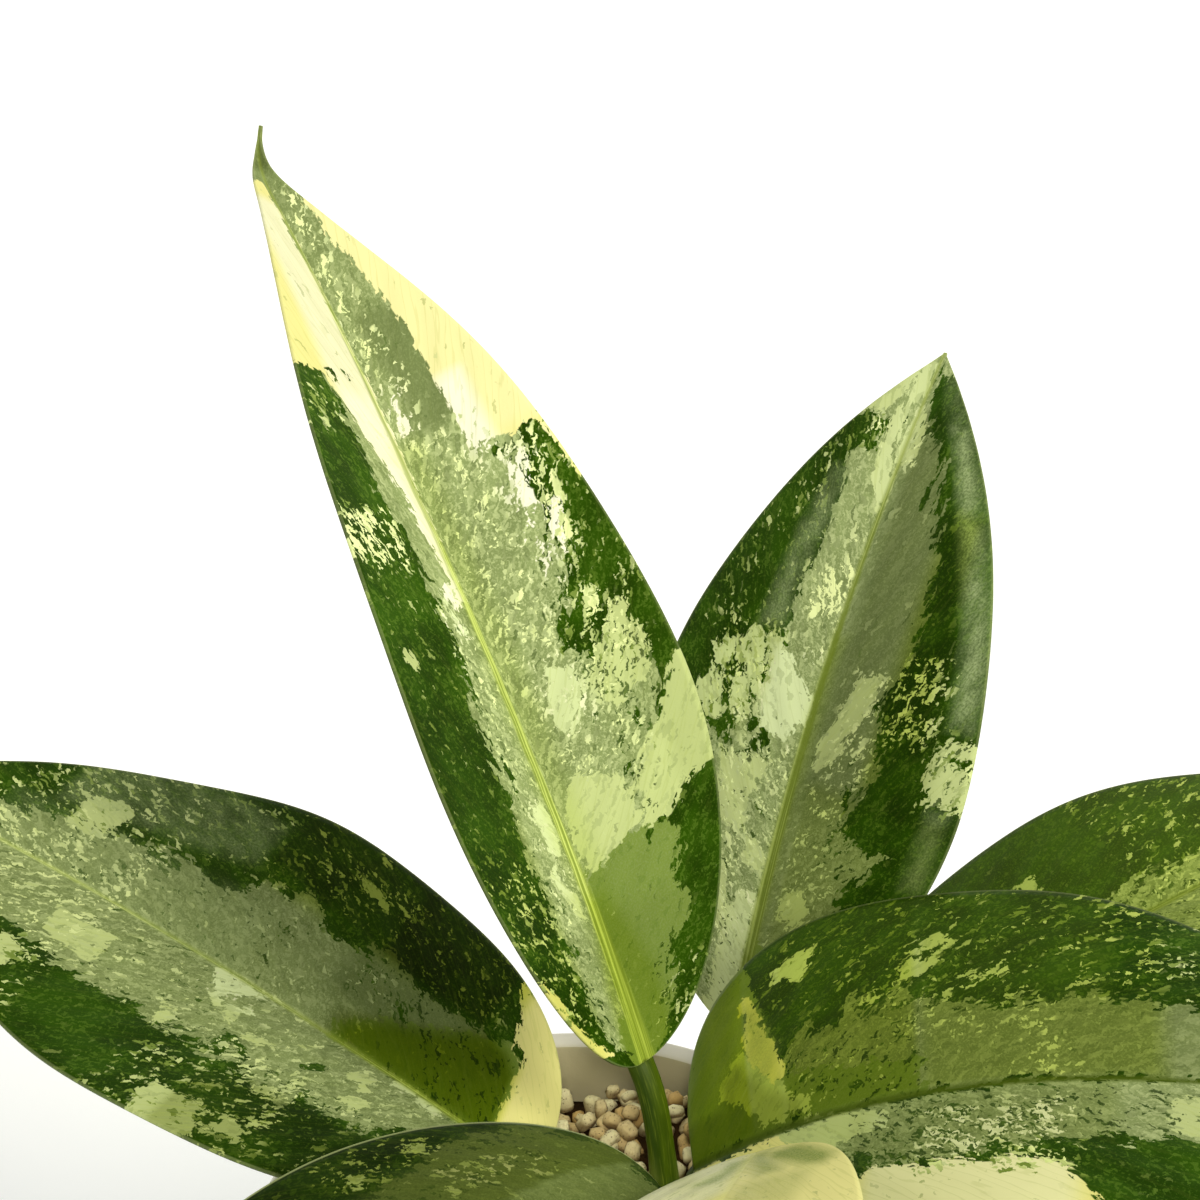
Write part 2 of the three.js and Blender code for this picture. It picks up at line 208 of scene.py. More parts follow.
# %% Floor
FLOOR_HALF = 14
floor_paper = new_material("floor_paper", 0.9, Base_Color=(0.93, 0.93, 0.93, 1), Specular_IOR_Level=0.1,
                           Emission_Color=(0.7, 0.8, 1, 1), Emission_Strength=0.2)[0]
bm = bmesh.new()
bmesh.ops.create_grid(bm, x_segments=2, y_segments=2, size=FLOOR_HALF)
floor_mesh = bpy.data.meshes.new("floor")
bm.to_mesh(floor_mesh)
bm.free()
floor_mesh.materials.append(floor_paper)
floor = bpy.data.objects.new("floor", floor_mesh)
scene.collection.objects.link(floor)
floor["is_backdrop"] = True
print("floor is", 2 * FLOOR_HALF, "m wide")

# %% Sky, sun and lamp
SKY_STRENGTH = 0.78
SKY_COLOR = (1.0, 0.98, 0.87, 1)
SUN_STRENGTH = 2.4
SUN_COLOR = (1.0, 0.97, 0.82)
SUN_SPREAD = 20
TO_SUN = Vector((0.62, -0.5, 0.6))
LAMP_WATTS = 3.0
LAMP_COLOR = (1.0, 0.93, 0.74)
LAMP_CONE = 8.5
LAMP_RADIUS = 0.02
LAMP_AIM = Vector((0.003, 0.036, 0.1))


def add_light(name, kind, energy, color, toward):
    """A light turned so that a direction points back at it."""
    light = bpy.data.objects.new(name, bpy.data.lights.new(name, kind))
    light.data.energy = energy
    light.data.color = color
    light.rotation_euler = toward.to_track_quat("Z", "Y").to_euler()
    scene.collection.objects.link(light)
    return light


sky = bpy.data.worlds.new("sky")
scene.world = sky
sky.use_nodes = True
sky.node_tree.nodes["Background"].inputs["Color"].default_value = SKY_COLOR
sky.node_tree.nodes["Background"].inputs["Strength"].default_value = SKY_STRENGTH
sun = add_light("sun", "SUN", SUN_STRENGTH, SUN_COLOR, TO_SUN)
sun.data.angle = math.radians(SUN_SPREAD)
pot_light = add_light("pot_light", "SPOT", LAMP_WATTS, LAMP_COLOR, camera.location - LAMP_AIM)
pot_light.data.spot_size = math.radians(LAMP_CONE)
pot_light.data.spot_blend = 1.0
pot_light.data.shadow_soft_size = LAMP_RADIUS
pot_light.location = camera.location
print("sky", SKY_STRENGTH, ", sun", SUN_STRENGTH, ", lamp into the pot", LAMP_WATTS, "W")

# %% [markdown]
# ## Leaf shapes
# Each leaf is one blade on one stalk. The solid model draws a leaf from a few plain numbers: where
# the blade begins, how its midrib turns from base to tip, how wide it is and how much each half is
# raised and curled. The same numbers are repeated here, so the finer blade lies on its solid. They
# could also be measured from the solid's faces, but named numbers are easier to read and to change.
# Three of them are a hair smaller than the solid's, the hook of the tall leaf and the lengths of the
# right and the far leaf, so that no tip reaches past the solids' box.

# %% Numbers of the stem and the leaves
STEM_X = 17.5
STEM_Y = -0.5
STEM_RADIUS = 4.5
MIDRIB_STEPS = 160
HOOK_LENGTH = 0.1
TIP_HALF_WIDTH = 0.35


def leaf_numbers(base, length, half_width, widest, base_round, tip_round, azimuth, pitch, roll,
                 fold, curl, wave, waves, phase, node, stalk, meets, handles, hook=(0, 0), groove=0.35):
    """One leaf: lengths in mm, angles in degrees, and pairs for its base and tip or left and right."""
    return dict(locals())


LEAVES = {
    "leaf_tall": leaf_numbers(
        (12.5, 7.5, 148), 192, 29.5, 0.33, (0.56, 0.66), 1.39, (136, 120), (67, 27), (11, -5),
        (31, 33), 2, 0.7, 2.6, (40, 200), (120, 114.4, 0), 5.0, (136, 67), (11, 12), (-48, 39)),
    "leaf_back_right": leaf_numbers(
        (31.4, 45.6, 123.9), 147.4, 35.4, 0.38, (0.66, 0.66), 1.01, (57, 58), (71, 37), (8, 3),
        (10, 12), 19, 0.7, 2.2, (90, 0), (52, 109.8, 5), 4.6, (68, 29), (12.5, 12)),
    "leaf_front": leaf_numbers(
        (29.5, -20.5, 153), 136, 28.5, 0.42, (0.42, 0.39), 1.2, (245, 268), (19, -45), (-32, -15),
        (9, 9), 18, 0.8, 2.4, (150, 30), (300, 109.5, 5), 4.5, (290, 56), (16, 10), groove=0.05),
    "leaf_right": leaf_numbers(
        (21.5, 5, 126), 152.9, 41.5, 0.28, (0.33, 0.8), 1.09, (-16, -12), (44, -23), (-20, 2),
        (15, 8), 14, 0.9, 2.5, (0, 120), (0, 107, 5), 4.6, (10, 66), (7, 5)),
    "leaf_front_left": leaf_numbers(
        (16.5, -14.5, 137), 144, 33, 0.41, (0.6, 0.46), 1.2, (210, 228), (13, -40), (7, -1),
        (15, 8), 20, 0.8, 2.3, (60, 180), (235, 108, 5), 4.6, (235, 52), (14, 8)),
    "leaf_left": leaf_numbers(
        (-7, 8.5, 122), 160, 39.5, 0.4, (0.55, 0.44), 1.19, (153, 158), (21, 14), (2, 10),
        (19, 8), 10, 0.9, 2.7, (100, 10), (150, 106.6, 5), 4.8, (155, 25), (11, 9)),
    "leaf_far_right": leaf_numbers(
        (50, 20.5, 123.5), 147.9, 34, 0.43, (0.54, 0.54), 1.16, (22, 19), (32, 3), (1, -1),
        (12, 12), 15, 0.8, 2.2, (20, 150), (45, 106.4, 5), 4.6, (28, 34), (11, 14)),
}
print(len(LEAVES), "leaves")


# %% Midrib of a leaf
def lerp(ends, share):
    return ends[0] + (ends[1] - ends[0]) * share


def midrib(leaf):
    """Arrays of places, directions, right sides and upper normals along a midrib, in mm."""
    s = np.linspace(0, 1, MIDRIB_STEPS + 1)
    hook = np.clip((s - 1 + HOOK_LENGTH) / HOOK_LENGTH, 0, 1) ** 2
    azimuth = np.radians(lerp(leaf["azimuth"], s) + leaf["hook"][0] * hook)
    pitch = np.radians(lerp(leaf["pitch"], s) + leaf["hook"][1] * hook)
    roll = np.radians(lerp(leaf["roll"], s))[:, None]
    along = np.stack([np.cos(pitch) * np.cos(azimuth), np.cos(pitch) * np.sin(azimuth),
                      np.sin(pitch)], 1)
    level = np.stack([np.sin(azimuth), -np.cos(azimuth), 0 * s], 1)
    face = np.cross(level, along)
    right = level * np.cos(roll) + face * np.sin(roll)
    normal = face * np.cos(roll) - level * np.sin(roll)
    steps = (along[1:] + along[:-1]) * leaf["length"] / MIDRIB_STEPS / 2
    place = np.vstack([np.zeros(3), np.cumsum(steps, 0)]) + leaf["base"]
    return place, along, right, normal


def along_midrib(rows, s):
    """The midrib's arrays read at any places s from 0 to 1."""
    at = np.clip(s, 0, 1) * MIDRIB_STEPS
    low = np.minimum(at.astype(int), MIDRIB_STEPS - 1)
    share = (at - low)[:, None]
    return [row[low] * (1 - share) + row[low + 1] * share for row in rows]


tall_tip = midrib(LEAVES["leaf_tall"])[0][-1]
print("the tall leaf's tip is", round(tall_tip[2]), "mm above the floor")

# %% Width of a leaf

def half_width(leaf, s, side):
    """Half width of the blade on one side, -1 for left and 1 for right."""
    tip = np.clip((s - leaf["widest"]) / (1 - leaf["widest"]), 0, 1)
    base = np.clip((leaf["widest"] - s) / leaf["widest"], 0, 1)
    round_by = np.where(side < 0, *leaf["base_round"])
    reach = leaf["half_width"] * (1 - tip ** 2) ** leaf["tip_round"] * (1 - base ** 2) ** round_by
    return np.maximum(TIP_HALF_WIDTH, reach)


print("widest leaf:", round(2 * max(leaf["half_width"] for leaf in LEAVES.values())), "mm")

# %% [markdown]
# ## Marbling
# The leaves are dark green with silver green along the midrib, and cream, pale lime and speckled
# patches that follow the side veins. A flat noise can't give that: the patches belong to this
# plant. So each leaf has a short list of patches, each a band along the leaf given by a few stations
# of (place from base to tip, left edge, right edge), with the edges in millimetres from the midrib.
# The first five kinds are patches with torn edges. The soft kinds carry an amount before their
# band: flecks, mottling, a whiter tone, a deeper tone that is partly painted shade, tints, an olive
# tint that is partly the leaf's own and partly painted shade and light through the leaf, a painted
# grey-green sheen and painted shade. Each leaf also has the half width of its midrib's line. The
# blade's points carry how deep they lie in each kind of patch.

# %% Patches of the tall leaf
FAR = 60
WHOLE = [(-.1, -FAR, FAR), (1.1, -FAR, FAR)]
MARKS = {}
MARKS["leaf_tall"] = {
    "silver": [
        [(.17, -5, 14), (.2, -5, 16), (.25, -5, 20), (.3, -5, 24), (.33, -5, 25), (.345, -5, 16),
         (.37, -5, 12), (.39, -5, 12.5), (.41, -5, 16), (.44, -5, 19), (.47, -5, 19), (.5, -6, 18),
         (.54, -6, 20), (.572, -6, 20.5), (.6, -6, 13), (.7, -6, 13), (.75, -6, 12), (.8, -6, 10),
         (.85, -6, 8), (.9, -6, 9), (.93, -6, FAR), (1.01, -6, FAR)],
        [(.01, -3, 4), (.03, -7, 4), (.06, -9.5, 4), (.1, -11.5, 4), (.15, -12.5, 4), (.2, -12.8, 4),
         (.3, -12.8, 4), (.36, -12.4, 4), (.4, -11.4, 4), (.45, -11, 3), (.5, -11.8, 2), (.55, -12.3, 2),
         (.6, -12.4, 0), (.67, -12.6, -2)]],
    "green": [
        [(-.01, -1, 3), (.03, -1, 6), (.05, -1, 9), (.09, -1, 11), (.105, -1, 13.5), (.13, -1, 16.5),
         (.15, -1, 15.5), (.17, -1, 17.6), (.185, 2.5, 17.8), (.2, 9.5, 17.8)],
        [(-.01, -3, 1), (.02, -5, 1), (.05, -4, 1)]],
    "pale": [
        [(.174, 1.4, 2.6), (.19, 1.4, 6), (.197, 1.4, 9), (.205, 1.4, 13), (.23, 1.3, 13.4),
         (.25, 1.3, 11.5), (.26, 3.5, 9.5)],
        [(.2, 13.6, 18.4), (.2125, 13.8, 20.2), (.23, 14, 24), (.243, 14.4, FAR), (.255, 15.4, FAR),
         (.28, 21, FAR), (.3, 23.4, FAR), (.32, 26.4, FAR), (.328, 29, FAR)],
        [(.296, 5.4, 7.4), (.31, 5, 9), (.325, 5, 11.4), (.34, 5.6, 12.4), (.352, 6.6, 11), (.36, 7, 9)],
        [(.305, 14, 18), (.32, 12.4, 22), (.335, 12.8, 24.6), (.355, 16.8, 24.6), (.38, 20, 24),
         (.39, 21.4, 23.6)],
        [(.2, -6.4, -3.8), (.215, -7.8, -3.4), (.235, -8.2, -3.6), (.25, -8, -5)],
        [(.144, -5.6, -3.8), (.17, -7.4, -4.6), (.19, -9.4, -7.6)],
        [(.385, -25, -23.2), (.405, -25.4, -23)],
        [(.41, -7, -5.6), (.425, -9.4, -7.6), (.44, -9.8, -8.8)]],
    "cream": [
        [(.436, -5.4, -4), (.446, -6.8, -3.8), (.456, -6.6, -4.4)],
        [(.44, -3.2, -2.2), (.48, -4.2, -2), (.52, -5.6, -1.8), (.55, -7.4, -1.4), (.6, -9.6, -1),
         (.64, -11.4, -.8), (.67, -12.2, -.7)],
        [(.672, -FAR, -.6), (.8, -FAR, -.5), (.88, -FAR, -.8), (.925, -FAR, -1.8)],
        [(.566, 11.5, FAR), (.62, 11.2, FAR), (.7, 10.8, FAR), (.75, 9.2, FAR), (.8, 7.4, FAR),
         (.85, 6.2, FAR), (.89, 5.2, FAR)],
        [(.5, 27, FAR), (.53, 25.5, FAR), (.57, 23.5, FAR)],
        [(.03, -FAR, -9.6), (.05, -FAR, -12.8), (.1, -FAR, -19), (.12, -FAR, -21.3)],
        [(.452, 17.8, 19.4), (.48, 18.2, 20.8), (.498, 19, 22)], [(.5, 15.6, 17.2), (.53, 17, 18.4)],
        [(.61, 1.2, 2.8), (.645, 2.2, 3.6)]],
    "dark": [
        [(.35, -11.2, -10.4), (.38, -11.8, -9.8), (.42, -12, -11.2)], [(.27, -10.2, -9.2), (.3, -11, -10)],
        [(.12, -10.6, -8.4), (.135, -11, -9.6)], [(.548, 14, 16.4), (.563, 14.6, 15.6)],
        [(.552, 20, 23.4), (.565, 20.4, 22.8)], [(.51, 17.8, 19.6), (.535, 18, 19.4)],
        [(.18, 12.4, 13.6), (.192, 12.8, 13.8)], [(.28, 17.6, 19), (.3, 18.4, 20.4)],
        [(.238, 12.8, 14.2), (.254, 13.2, 14.8)]],
    "fleck": [
        (1, [(.475, -FAR, -12.5), (.53, -FAR, -12.5)]), (.42, [(.05, -FAR, -11), (.22, -FAR, -13)]),
        (.06, [(.22, -FAR, -12), (.47, -FAR, -12)]), (.8, [(.44, 14, 22), (.565, 14, 24)]),
        (.7, [(.34, 14, 25), (.41, 16, 25)]), (.3, [(.39, 12, FAR), (.45, 14, FAR)]),
        (.22, [(.45, 21, FAR), (.54, 21, FAR)]), (.1, [(.32, 26, FAR), (.4, 26, FAR)]),
        (.3, [(.6, -FAR, -12.6), (.67, -FAR, -12.6)]), (.3, [(.14, -11, -3), (.46, -11, -3)]),
        (.42, [(.36, 1, 16), (.6, 1, 14)]), (.55, [(.6, .6, 6), (.92, 0, 5)]),
        (.35, [(.25, 3, 20), (.36, 1, 16)]), (.3, [(.02, 4, 14), (.08, 8, 20)])],
    "mottle": [
        (.15, [(.03, -12, -7), (.5, -12, -8)]), (.5, [(.5, 16, 22), (.57, 13, 22)]),
        (.5, [(.4, 11, 25), (.45, 13, 25)]), (.6, [(.3, 12, 25), (.4, 12, 26)]),
        (.2, [(.2, 12, 16), (.3, 14, 21)]), (.5, [(.02, 4, FAR), (.1, 9, FAR)])],
    "deep": [(.15, [(.38, -FAR, -1), (.67, -FAR, -5)]), (.25, [(.65, 0, FAR), (1.1, -FAR, FAR)]),
             (.95, [(.6, 4.5, FAR), (.74, 2.5, FAR)]), (.7, [(.88, -FAR, FAR), (1.1, -FAR, FAR)])],
    "white": [(1, [(.555, 10, 16), (.645, 10, 16)]), (.75, [(.57, -12.4, 0), (.9, -9, 0)]),
              (.9, [(.4, -12, 0), (.58, -12, 0)]), (1, [(.4, 12, 24), (.55, 12, 24)]),
              (1, [(.6, 0, 5), (.66, 0, 5)]), (.5, [(.17, -10, -2), (.26, -10, -2)]),
              (.5, [(.29, 4, 13), (.37, 4, 13)]), (.2, [(.57, 5, FAR), (.92, 3, FAR)])],
    "olive": [(.6, [(-.05, -6, 7), (.08, -5, 7), (.16, -2, 3)]), (.25, [(.1, -5, 4), (.6, -4, 3.5)]),
              (.4, [(0, -FAR, -10), (.25, -FAR, -13)]), (.06, [(.19, 13, FAR), (.4, 13, FAR)])],
    "shade": [(.15, [(-.1, -FAR, FAR), (.14, -FAR, FAR)]), (.3, [(-.1, -FAR, -13), (.42, -FAR, -13)]),
              (.17, [(.65, -FAR, -.5), (1.1, -FAR, -.5)]), (.2, [(.1, 22, FAR), (.5, 21, FAR)]),
              (.7, [(.945, -FAR, FAR), (1.1, -FAR, FAR)])],
    "rib": [(0, 1.9), (.1, 1.5), (.4, .8), (.8, .35), (1, .2)],
    "rib_shift": [(0, 0), (.1, -.5), (.3, -2.2), (.55, -2.2), (.75, -.8), (1, 0)],
}

# %% Patches of the back leaf
MARKS["leaf_back_right"] = {
    "silver": [
        [(-.05, -16, 5), (.2, -18, 5), (.38, -20, 5), (.43, -14, 5), (.5, -10.5, 5), (.55, -10, 5),
         (.593, -11.8, 5), (.633, -10.2, 5), (.7, -9.6, 5), (.755, -9.6, 5), (.795, -10.2, 4),
         (.818, -10.4, 4), (.83, -6, 4), (.876, -5, 3), (.89, -FAR, 3), (1.01, -FAR, 2)],
        [(.1, -5, 14), (.24, -5, 17), (.26, -5, 20.5), (.287, -5, 21), (.3, -5, 14), (.34, -5, 14),
         (.384, -5, 17.3), (.43, -5, 16.4), (.46, -5, 13.4), (.5, -5, 16.4), (.54, -5, 17.3),
         (.6, -5, 16.6), (.633, -5, 17), (.687, -5, 16.4), (.714, -5, 13.8), (.755, -5, 12.8),
         (.8, -5, 11), (.85, -4, 8), (.876, -4, 4), (.91, -3, 3.2), (.97, -2, 3)]],
    "green": [[(-.05, -2, 6), (.1, -1, 9), (.12, -1, 13)]],
    "pale": [
        [(.395, -7, -4), (.41, -10.4, -3), (.43, -12, -.8), (.46, -11.6, -1), (.49, -12.2, -5),
         (.512, -12.6, -8.4)],
        [(.27, -15.4, -8), (.31, -15.6, -8), (.365, -17, -5)], [(.22, -7, -2), (.26, -5.6, -3)],
        [(-.03, -7, -1), (.04, -7, -1), (.12, -7, -1), (.19, -5.4, -1.4)], [(.13, -13, -8), (.22, -14, -9)],
        [(.365, 3, 6), (.4, 3.4, 8.4), (.42, 4.6, 9), (.45, 6.4, 11.6), (.48, 8, 12.4), (.505, 9, 12.6)],
        [(.885, -FAR, -8), (.9, -FAR, -6), (.94, -FAR, -3.4), (.99, -FAR, -2)],
        [(.735, -1, .2), (.77, -2.8, 0), (.8, -4.4, -.2), (.83, -4.8, -1.8), (.87, -5, -1.2),
         (.93, -4.4, -.8), (.98, -3, -.6)],
        [(.81, -2, 2.4), (.9, -1.4, 2)],
        [(.365, 29, 31.5), (.4, 27.4, FAR), (.43, 28, 30), (.452, 30.5, FAR)],
        [(.165, 5, 9), (.19, 5, 11), (.215, 6, 9)],
        [(.4, -21, -18.6), (.41, -23, -17.8), (.43, -25.4, -18.8), (.45, -25, -19.8), (.462, -23.6, -21)],
        [(.405, -16, -13.8), (.415, -17.8, -13.2), (.44, -18.8, -13.4), (.462, -18.4, -13.8),
         (.475, -16.6, -12.6), (.49, -17.8, -12.8), (.512, -19.8, -14.4), (.53, -19, -15),
         (.54, -17.8, -16)],
        [(.474, -24, -20.4), (.5, -24, -20), (.516, -23.4, -20.6)],
        [(.512, -14.4, -10.6), (.532, -14.4, -10)], [(.49, -25.6, -24.4), (.5, -25.6, -24)]],
    "dark": [
        [(.372, -11.4, -9.4), (.385, -10.6, -7.4), (.398, -9, -7.4), (.405, -9.4, -8)],
        [(.395, -12.2, -10.8), (.415, -12, -10.4)], [(.37, -16.6, -15), (.385, -19.6, -17)],
        [(.39, -19.4, -15.4), (.408, -18.6, -16)],
        [(.74, 8.2, 9.8), (.78, 8, 9.2), (.835, 8.2, 9.2)], [(.74, 11.6, 12.8), (.79, 11.4, 12.4)],
        [(.466, 13.2, 14.2), (.495, 14.2, 15.2)], [(.63, -11, -10), (.7, -10.6, -9.6)]],
    "fleck": [
        (.14, [(.52, -FAR, -11), (.88, -FAR, -5)]), (.42, [(.7, -20, -11), (.8, -19, -11)]),
        (1, [(.565, -8, -1), (.645, -8, -1)]), (.5, [(.51, -5, -.5), (.72, -4, -.5)]),
        (.72, [(.425, 16.5, 27), (.545, 17, 27)]), (.5, [(.4, -24.6, -11), (.55, -24, -10)]),
        (.4, [(.1, -15, -1), (.39, -16, -1)]), (.55, [(.36, 5, 16), (.51, 8, 15)]),
        (.25, [(.1, 4, 14), (.36, 4, 14)]), (.6, [(.83, -11, -5), (.88, -9, -5)]),
        (.5, [(.8, -1, 4), (.9, -1, 3)]), (.45, [(.36, 27, FAR), (.46, 27, FAR)])],
    "mottle": [
        (.12, [(.03, -12, -1), (.34, -13, -1)]), (.5, [(.36, -20, -7), (.42, -20, -7)]),
        (.3, [(.25, 10, 20), (.4, 12, 22)]), (.12, [(.4, -FAR, -12.6), (.54, -FAR, -12)]),
        (.35, [(.84, 2, 9), (.95, 1, 6)]), (.3, [(.36, 27, FAR), (.46, 27, FAR)])],
    "white": [(.9, [(.39, -11, 0), (.52, -12, 0)]), (.5, [(.39, -27, -13), (.55, -27, -12)]),
              (.4, [(-.1, -6, 0), (.2, -6, 0)]), (.3, [(.74, -5, 0), (.98, -5, 0)])],
    "olive": [(.2, [(.39, -27, -13), (.55, -27, -12)]), (.5, [(-.1, -.5, 3), (.55, -.3, 2.5)]),
              (.5, [(-.1, 0, FAR), (.1, 0, FAR)]), (.4, [(.1, 3, FAR), (.35, 3, FAR)]),
              (.6, [(.36, 15, 26), (.75, 15, 22)])],
    "bloom": [
        (.7, [(.545, -16.5, -11), (.6, -16, -12), (.7, -15, -10), (.79, -12.5, -10)]),
        (.3, [(.5, 29, FAR), (.593, 26, FAR), (.714, 18.6, FAR), (.8, 14, FAR), (.9, 6, FAR), (1, 1, FAR)]),
        (1, [(.47, 29.6, 33), (.54, 28, 32.4), (.593, 26, 30.4), (.66, 22.4, 27), (.714, 19, 23.4),
             (.79, 14.4, 18), (.876, 8.6, 11.6)]),
        (.6, [(.26, 28.4, 32), (.36, 29.4, 33)])],
    "shade": [(.42, [(.33, 3.5, 28.5), (.47, 3.5, 28), (.593, 3.5, 24.6), (.714, 3, 17.6), (.9, 2, 5)]),
              (.15, [(-.1, 3, FAR), (.36, 3, FAR)]), (.2, [(.5, -FAR, -11), (.88, -FAR, -9)])],
    "deep": [(.8, [(.3, .5, FAR), (.9, .5, FAR)]), (.5, [(-.1, .5, FAR), (.33, .5, FAR)])],
    "rib": [(0, 1.4), (.3, 1), (.7, .5), (1, .25)], "rib_tone": 0.5, "rib_show": 0.9,
}

# %% Patches of the left leaf
MARKS["leaf_left"] = {
    "silver": [
        [(.12, 1, 16), (.14, 1, 17.7), (.173, 1, 16.2), (.23, 0, 18), (.264, 0, 20.3), (.3, 0, 19),
         (.33, 0, 17.2), (.36, 0, 17), (.39, 0, 21.6), (.41, 0, 22), (.45, 0, 20.3), (.475, 0, 16.4),
         (.51, 0, 14.6), (.56, 0, 16.2), (.62, 0, 14), (.75, 0, 9), (.9, 0, 4)],
        [(.05, -7, 1), (.12, -9, 1), (.154, -11.8, 2), (.173, -16, 3), (.21, -17, 4), (.25, -18, 4),
         (.257, -23, 4), (.29, -22, 4), (.31, -20.4, 4), (.335, -21, 4), (.374, -19.6, 4), (.41, -20.6, 4),
         (.6, -19, 4), (.8, -11, 3), (.93, -4, 1)]],
    "green": [[(-.01, -1, 16), (.1, 0, 17.4), (.12, 0, 17), (.15, 0, 15.5), (.17, 0, 13), (.2, 0, 10.5),
               (.24, 0, 8), (.29, 0, 3)]],
    "cream": [[(-.01, 2, FAR), (.04, 3, FAR), (.064, 3.8, FAR), (.074, 11, FAR), (.082, 16, FAR),
               (.098, 17.4, FAR), (.108, 22.4, FAR), (.118, 24.6, FAR), (.136, 29.4, FAR)]],
    "pale": [
        [(.66, 12, 20), (.72, 10, 18)], [(.62, -26, -20), (.68, -25, -19)],
        [(.352, -.8, -.2), (.37, -2, -.2), (.39, -4.6, -.2), (.41, -6.6, -.3), (.427, -6.4, -.3),
         (.438, -2, -.4)],
        [(.315, -36, -31.4), (.34, -FAR, -31), (.365, -FAR, -31.6), (.382, -35.6, -31.6)],
        [(.265, -33.6, -31.6), (.28, -34.6, -29.2), (.294, -33, -30)],
        [(.256, -17, -14), (.268, -21.6, -13.4), (.28, -22.6, -20), (.29, -22.4, -21)],
        [(.188, -11.4, -9.8), (.2, -14, -10.2), (.214, -13.6, -11.6)],
        [(.205, -5, -3.6), (.222, -7.6, -4.6), (.23, -7.4, -6.4)], [(.12, -2.2, -.4), (.185, -2, -.4)],
        [(.325, -12.6, -10.4), (.345, -13.6, -11.6)], [(.375, -9.4, -7.6), (.39, -9.4, -6.6)],
        [(.4, -9.2, -7.4), (.412, -8.6, -7)], [(.376, -11, -9.4), (.39, -10.4, -9)],
        [(.43, -17.6, -15.4), (.446, -17, -15.6)], [(.424, -20.4, -18.2), (.438, -19.6, -17.6)],
        [(.198, -8.8, -7), (.211, -8.4, -6.8)], [(.354, -7.8, -6.2), (.369, -7.4, -6.4)],
        [(.31, -11.8, -10), (.33, -11, -9.2)], [(.285, -7.4, -6), (.296, -7, -6)],
        [(.55, -16, -9), (.63, -15, -8)], [(.325, 27.6, 29), (.355, 29.6, 31.6), (.37, 30.4, 31.6)],
        [(.33, 36.4, 37.4), (.37, 37.2, 38.4)]],
    "dark": [
        [(.255, -9.8, -8.2), (.265, -11.4, -8.4), (.275, -12, -10.6)],
        [(.325, -18.6, -16.4), (.335, -18, -14.6), (.345, -15.6, -14.2), (.37, -15.4, -14)],
        [(.355, -19.6, -16.8), (.37, -18.6, -16.4)], [(.425, 19, 20.4), (.445, 19.2, 20.2)],
        [(.22, 9.6, 11), (.24, 12, 13.6)], [(.56, 12.4, 14.2), (.61, 12.8, 14)]],
    "fleck": [
        (.35, [(.28, 22, 34), (.42, 24, 36)]), (.42, [(.24, -FAR, -14), (.36, -FAR, -14)]),
        (.28, [(.36, -FAR, -20), (.44, -FAR, -20)]), (.16, [(.1, -20, -1), (.6, -20, -1)]),
        (.05, [(.25, 0, 20), (.65, 0, 14)]), (.22, [(.12, 18, FAR), (.28, 20, FAR)]),
        (.15, [(.4, 18, FAR), (.7, 14, FAR)]), (.4, [(.58, -FAR, FAR), (.85, -FAR, FAR)]),
        (.15, [(.05, -FAR, -12), (.24, -FAR, -16)])],
    "mottle": [(.4, [(.14, -24, -13), (.42, -24, -16)]), (.1, [(.4, -20, -1), (.6, -18, -1)]),
               (.3, [(.14, 10, 19), (.3, 10, 20)]), (.12, [(.38, 2, 18), (.8, 0, 12)]),
               (.2, [(.02, 0, 18), (.2, 0, 14)])],
    "white": [(.8, [(.1, -4, 0), (.2, -3, 0)]), (1, [(.34, -8, 0), (.45, -8, 0)])],
    "olive": [(.95, [(.062, 0, 2.4), (.072, 0, 8.6), (.08, 0, 13.6), (.1, 0, 16), (.125, 0, 17.5),
                     (.15, 0, 15.5), (.17, 0, 13), (.2, 0, 10.5), (.24, 0, 8), (.28, 0, 4)]),
              (.6, [(.13, 17, FAR), (.48, 20, FAR)]), (.7, [(.118, 25.5, 31), (.145, 27, FAR)])],
    "bloom": [(.5, [(.49, 22, 32), (.56, 19, 34), (.65, 17, 32), (.75, 14, 27)]),
              (.25, [(.42, 0, 16), (.8, 0, 12)])],
    "shade": [(.95, [(.14, 17, FAR), (.3, 19, FAR)]), (.72, [(.28, 19, FAR), (.48, 24, FAR)]),
              (.3, [(.11, 0, FAR), (1.1, 0, FAR)]), (.42, [(.11, 5, FAR), (.32, 5, FAR)]),
              (.35, [(-.1, -FAR, 0), (1.1, -FAR, 0)]), (.28, [(-.1, 0, FAR), (.12, 0, FAR)]),
              (.75, [(-.1, -FAR, -10), (.3, -FAR, -20), (.36, -FAR, -24)]),
              (.8, [(.062, 0, 2), (.08, 0, 13), (.1, 0, 16), (.14, 0, 17.5)]),
              (.75, [(.12, 0, 18), (.15, 0, 17), (.18, 0, 14), (.22, 0, 11), (.3, 0, 6)])],
    "deep": [(.45, [(.2, 0, FAR), (1, 0, FAR)]), (.95, [(.1, 4, FAR), (.33, 8, FAR)]),
             (.25, [(-.1, -FAR, 0), (1, -FAR, 0)])],
    "rib": [(0, .8), (.2, .45), (.6, .3), (1, .2)], "rib_show": 0.7,
}

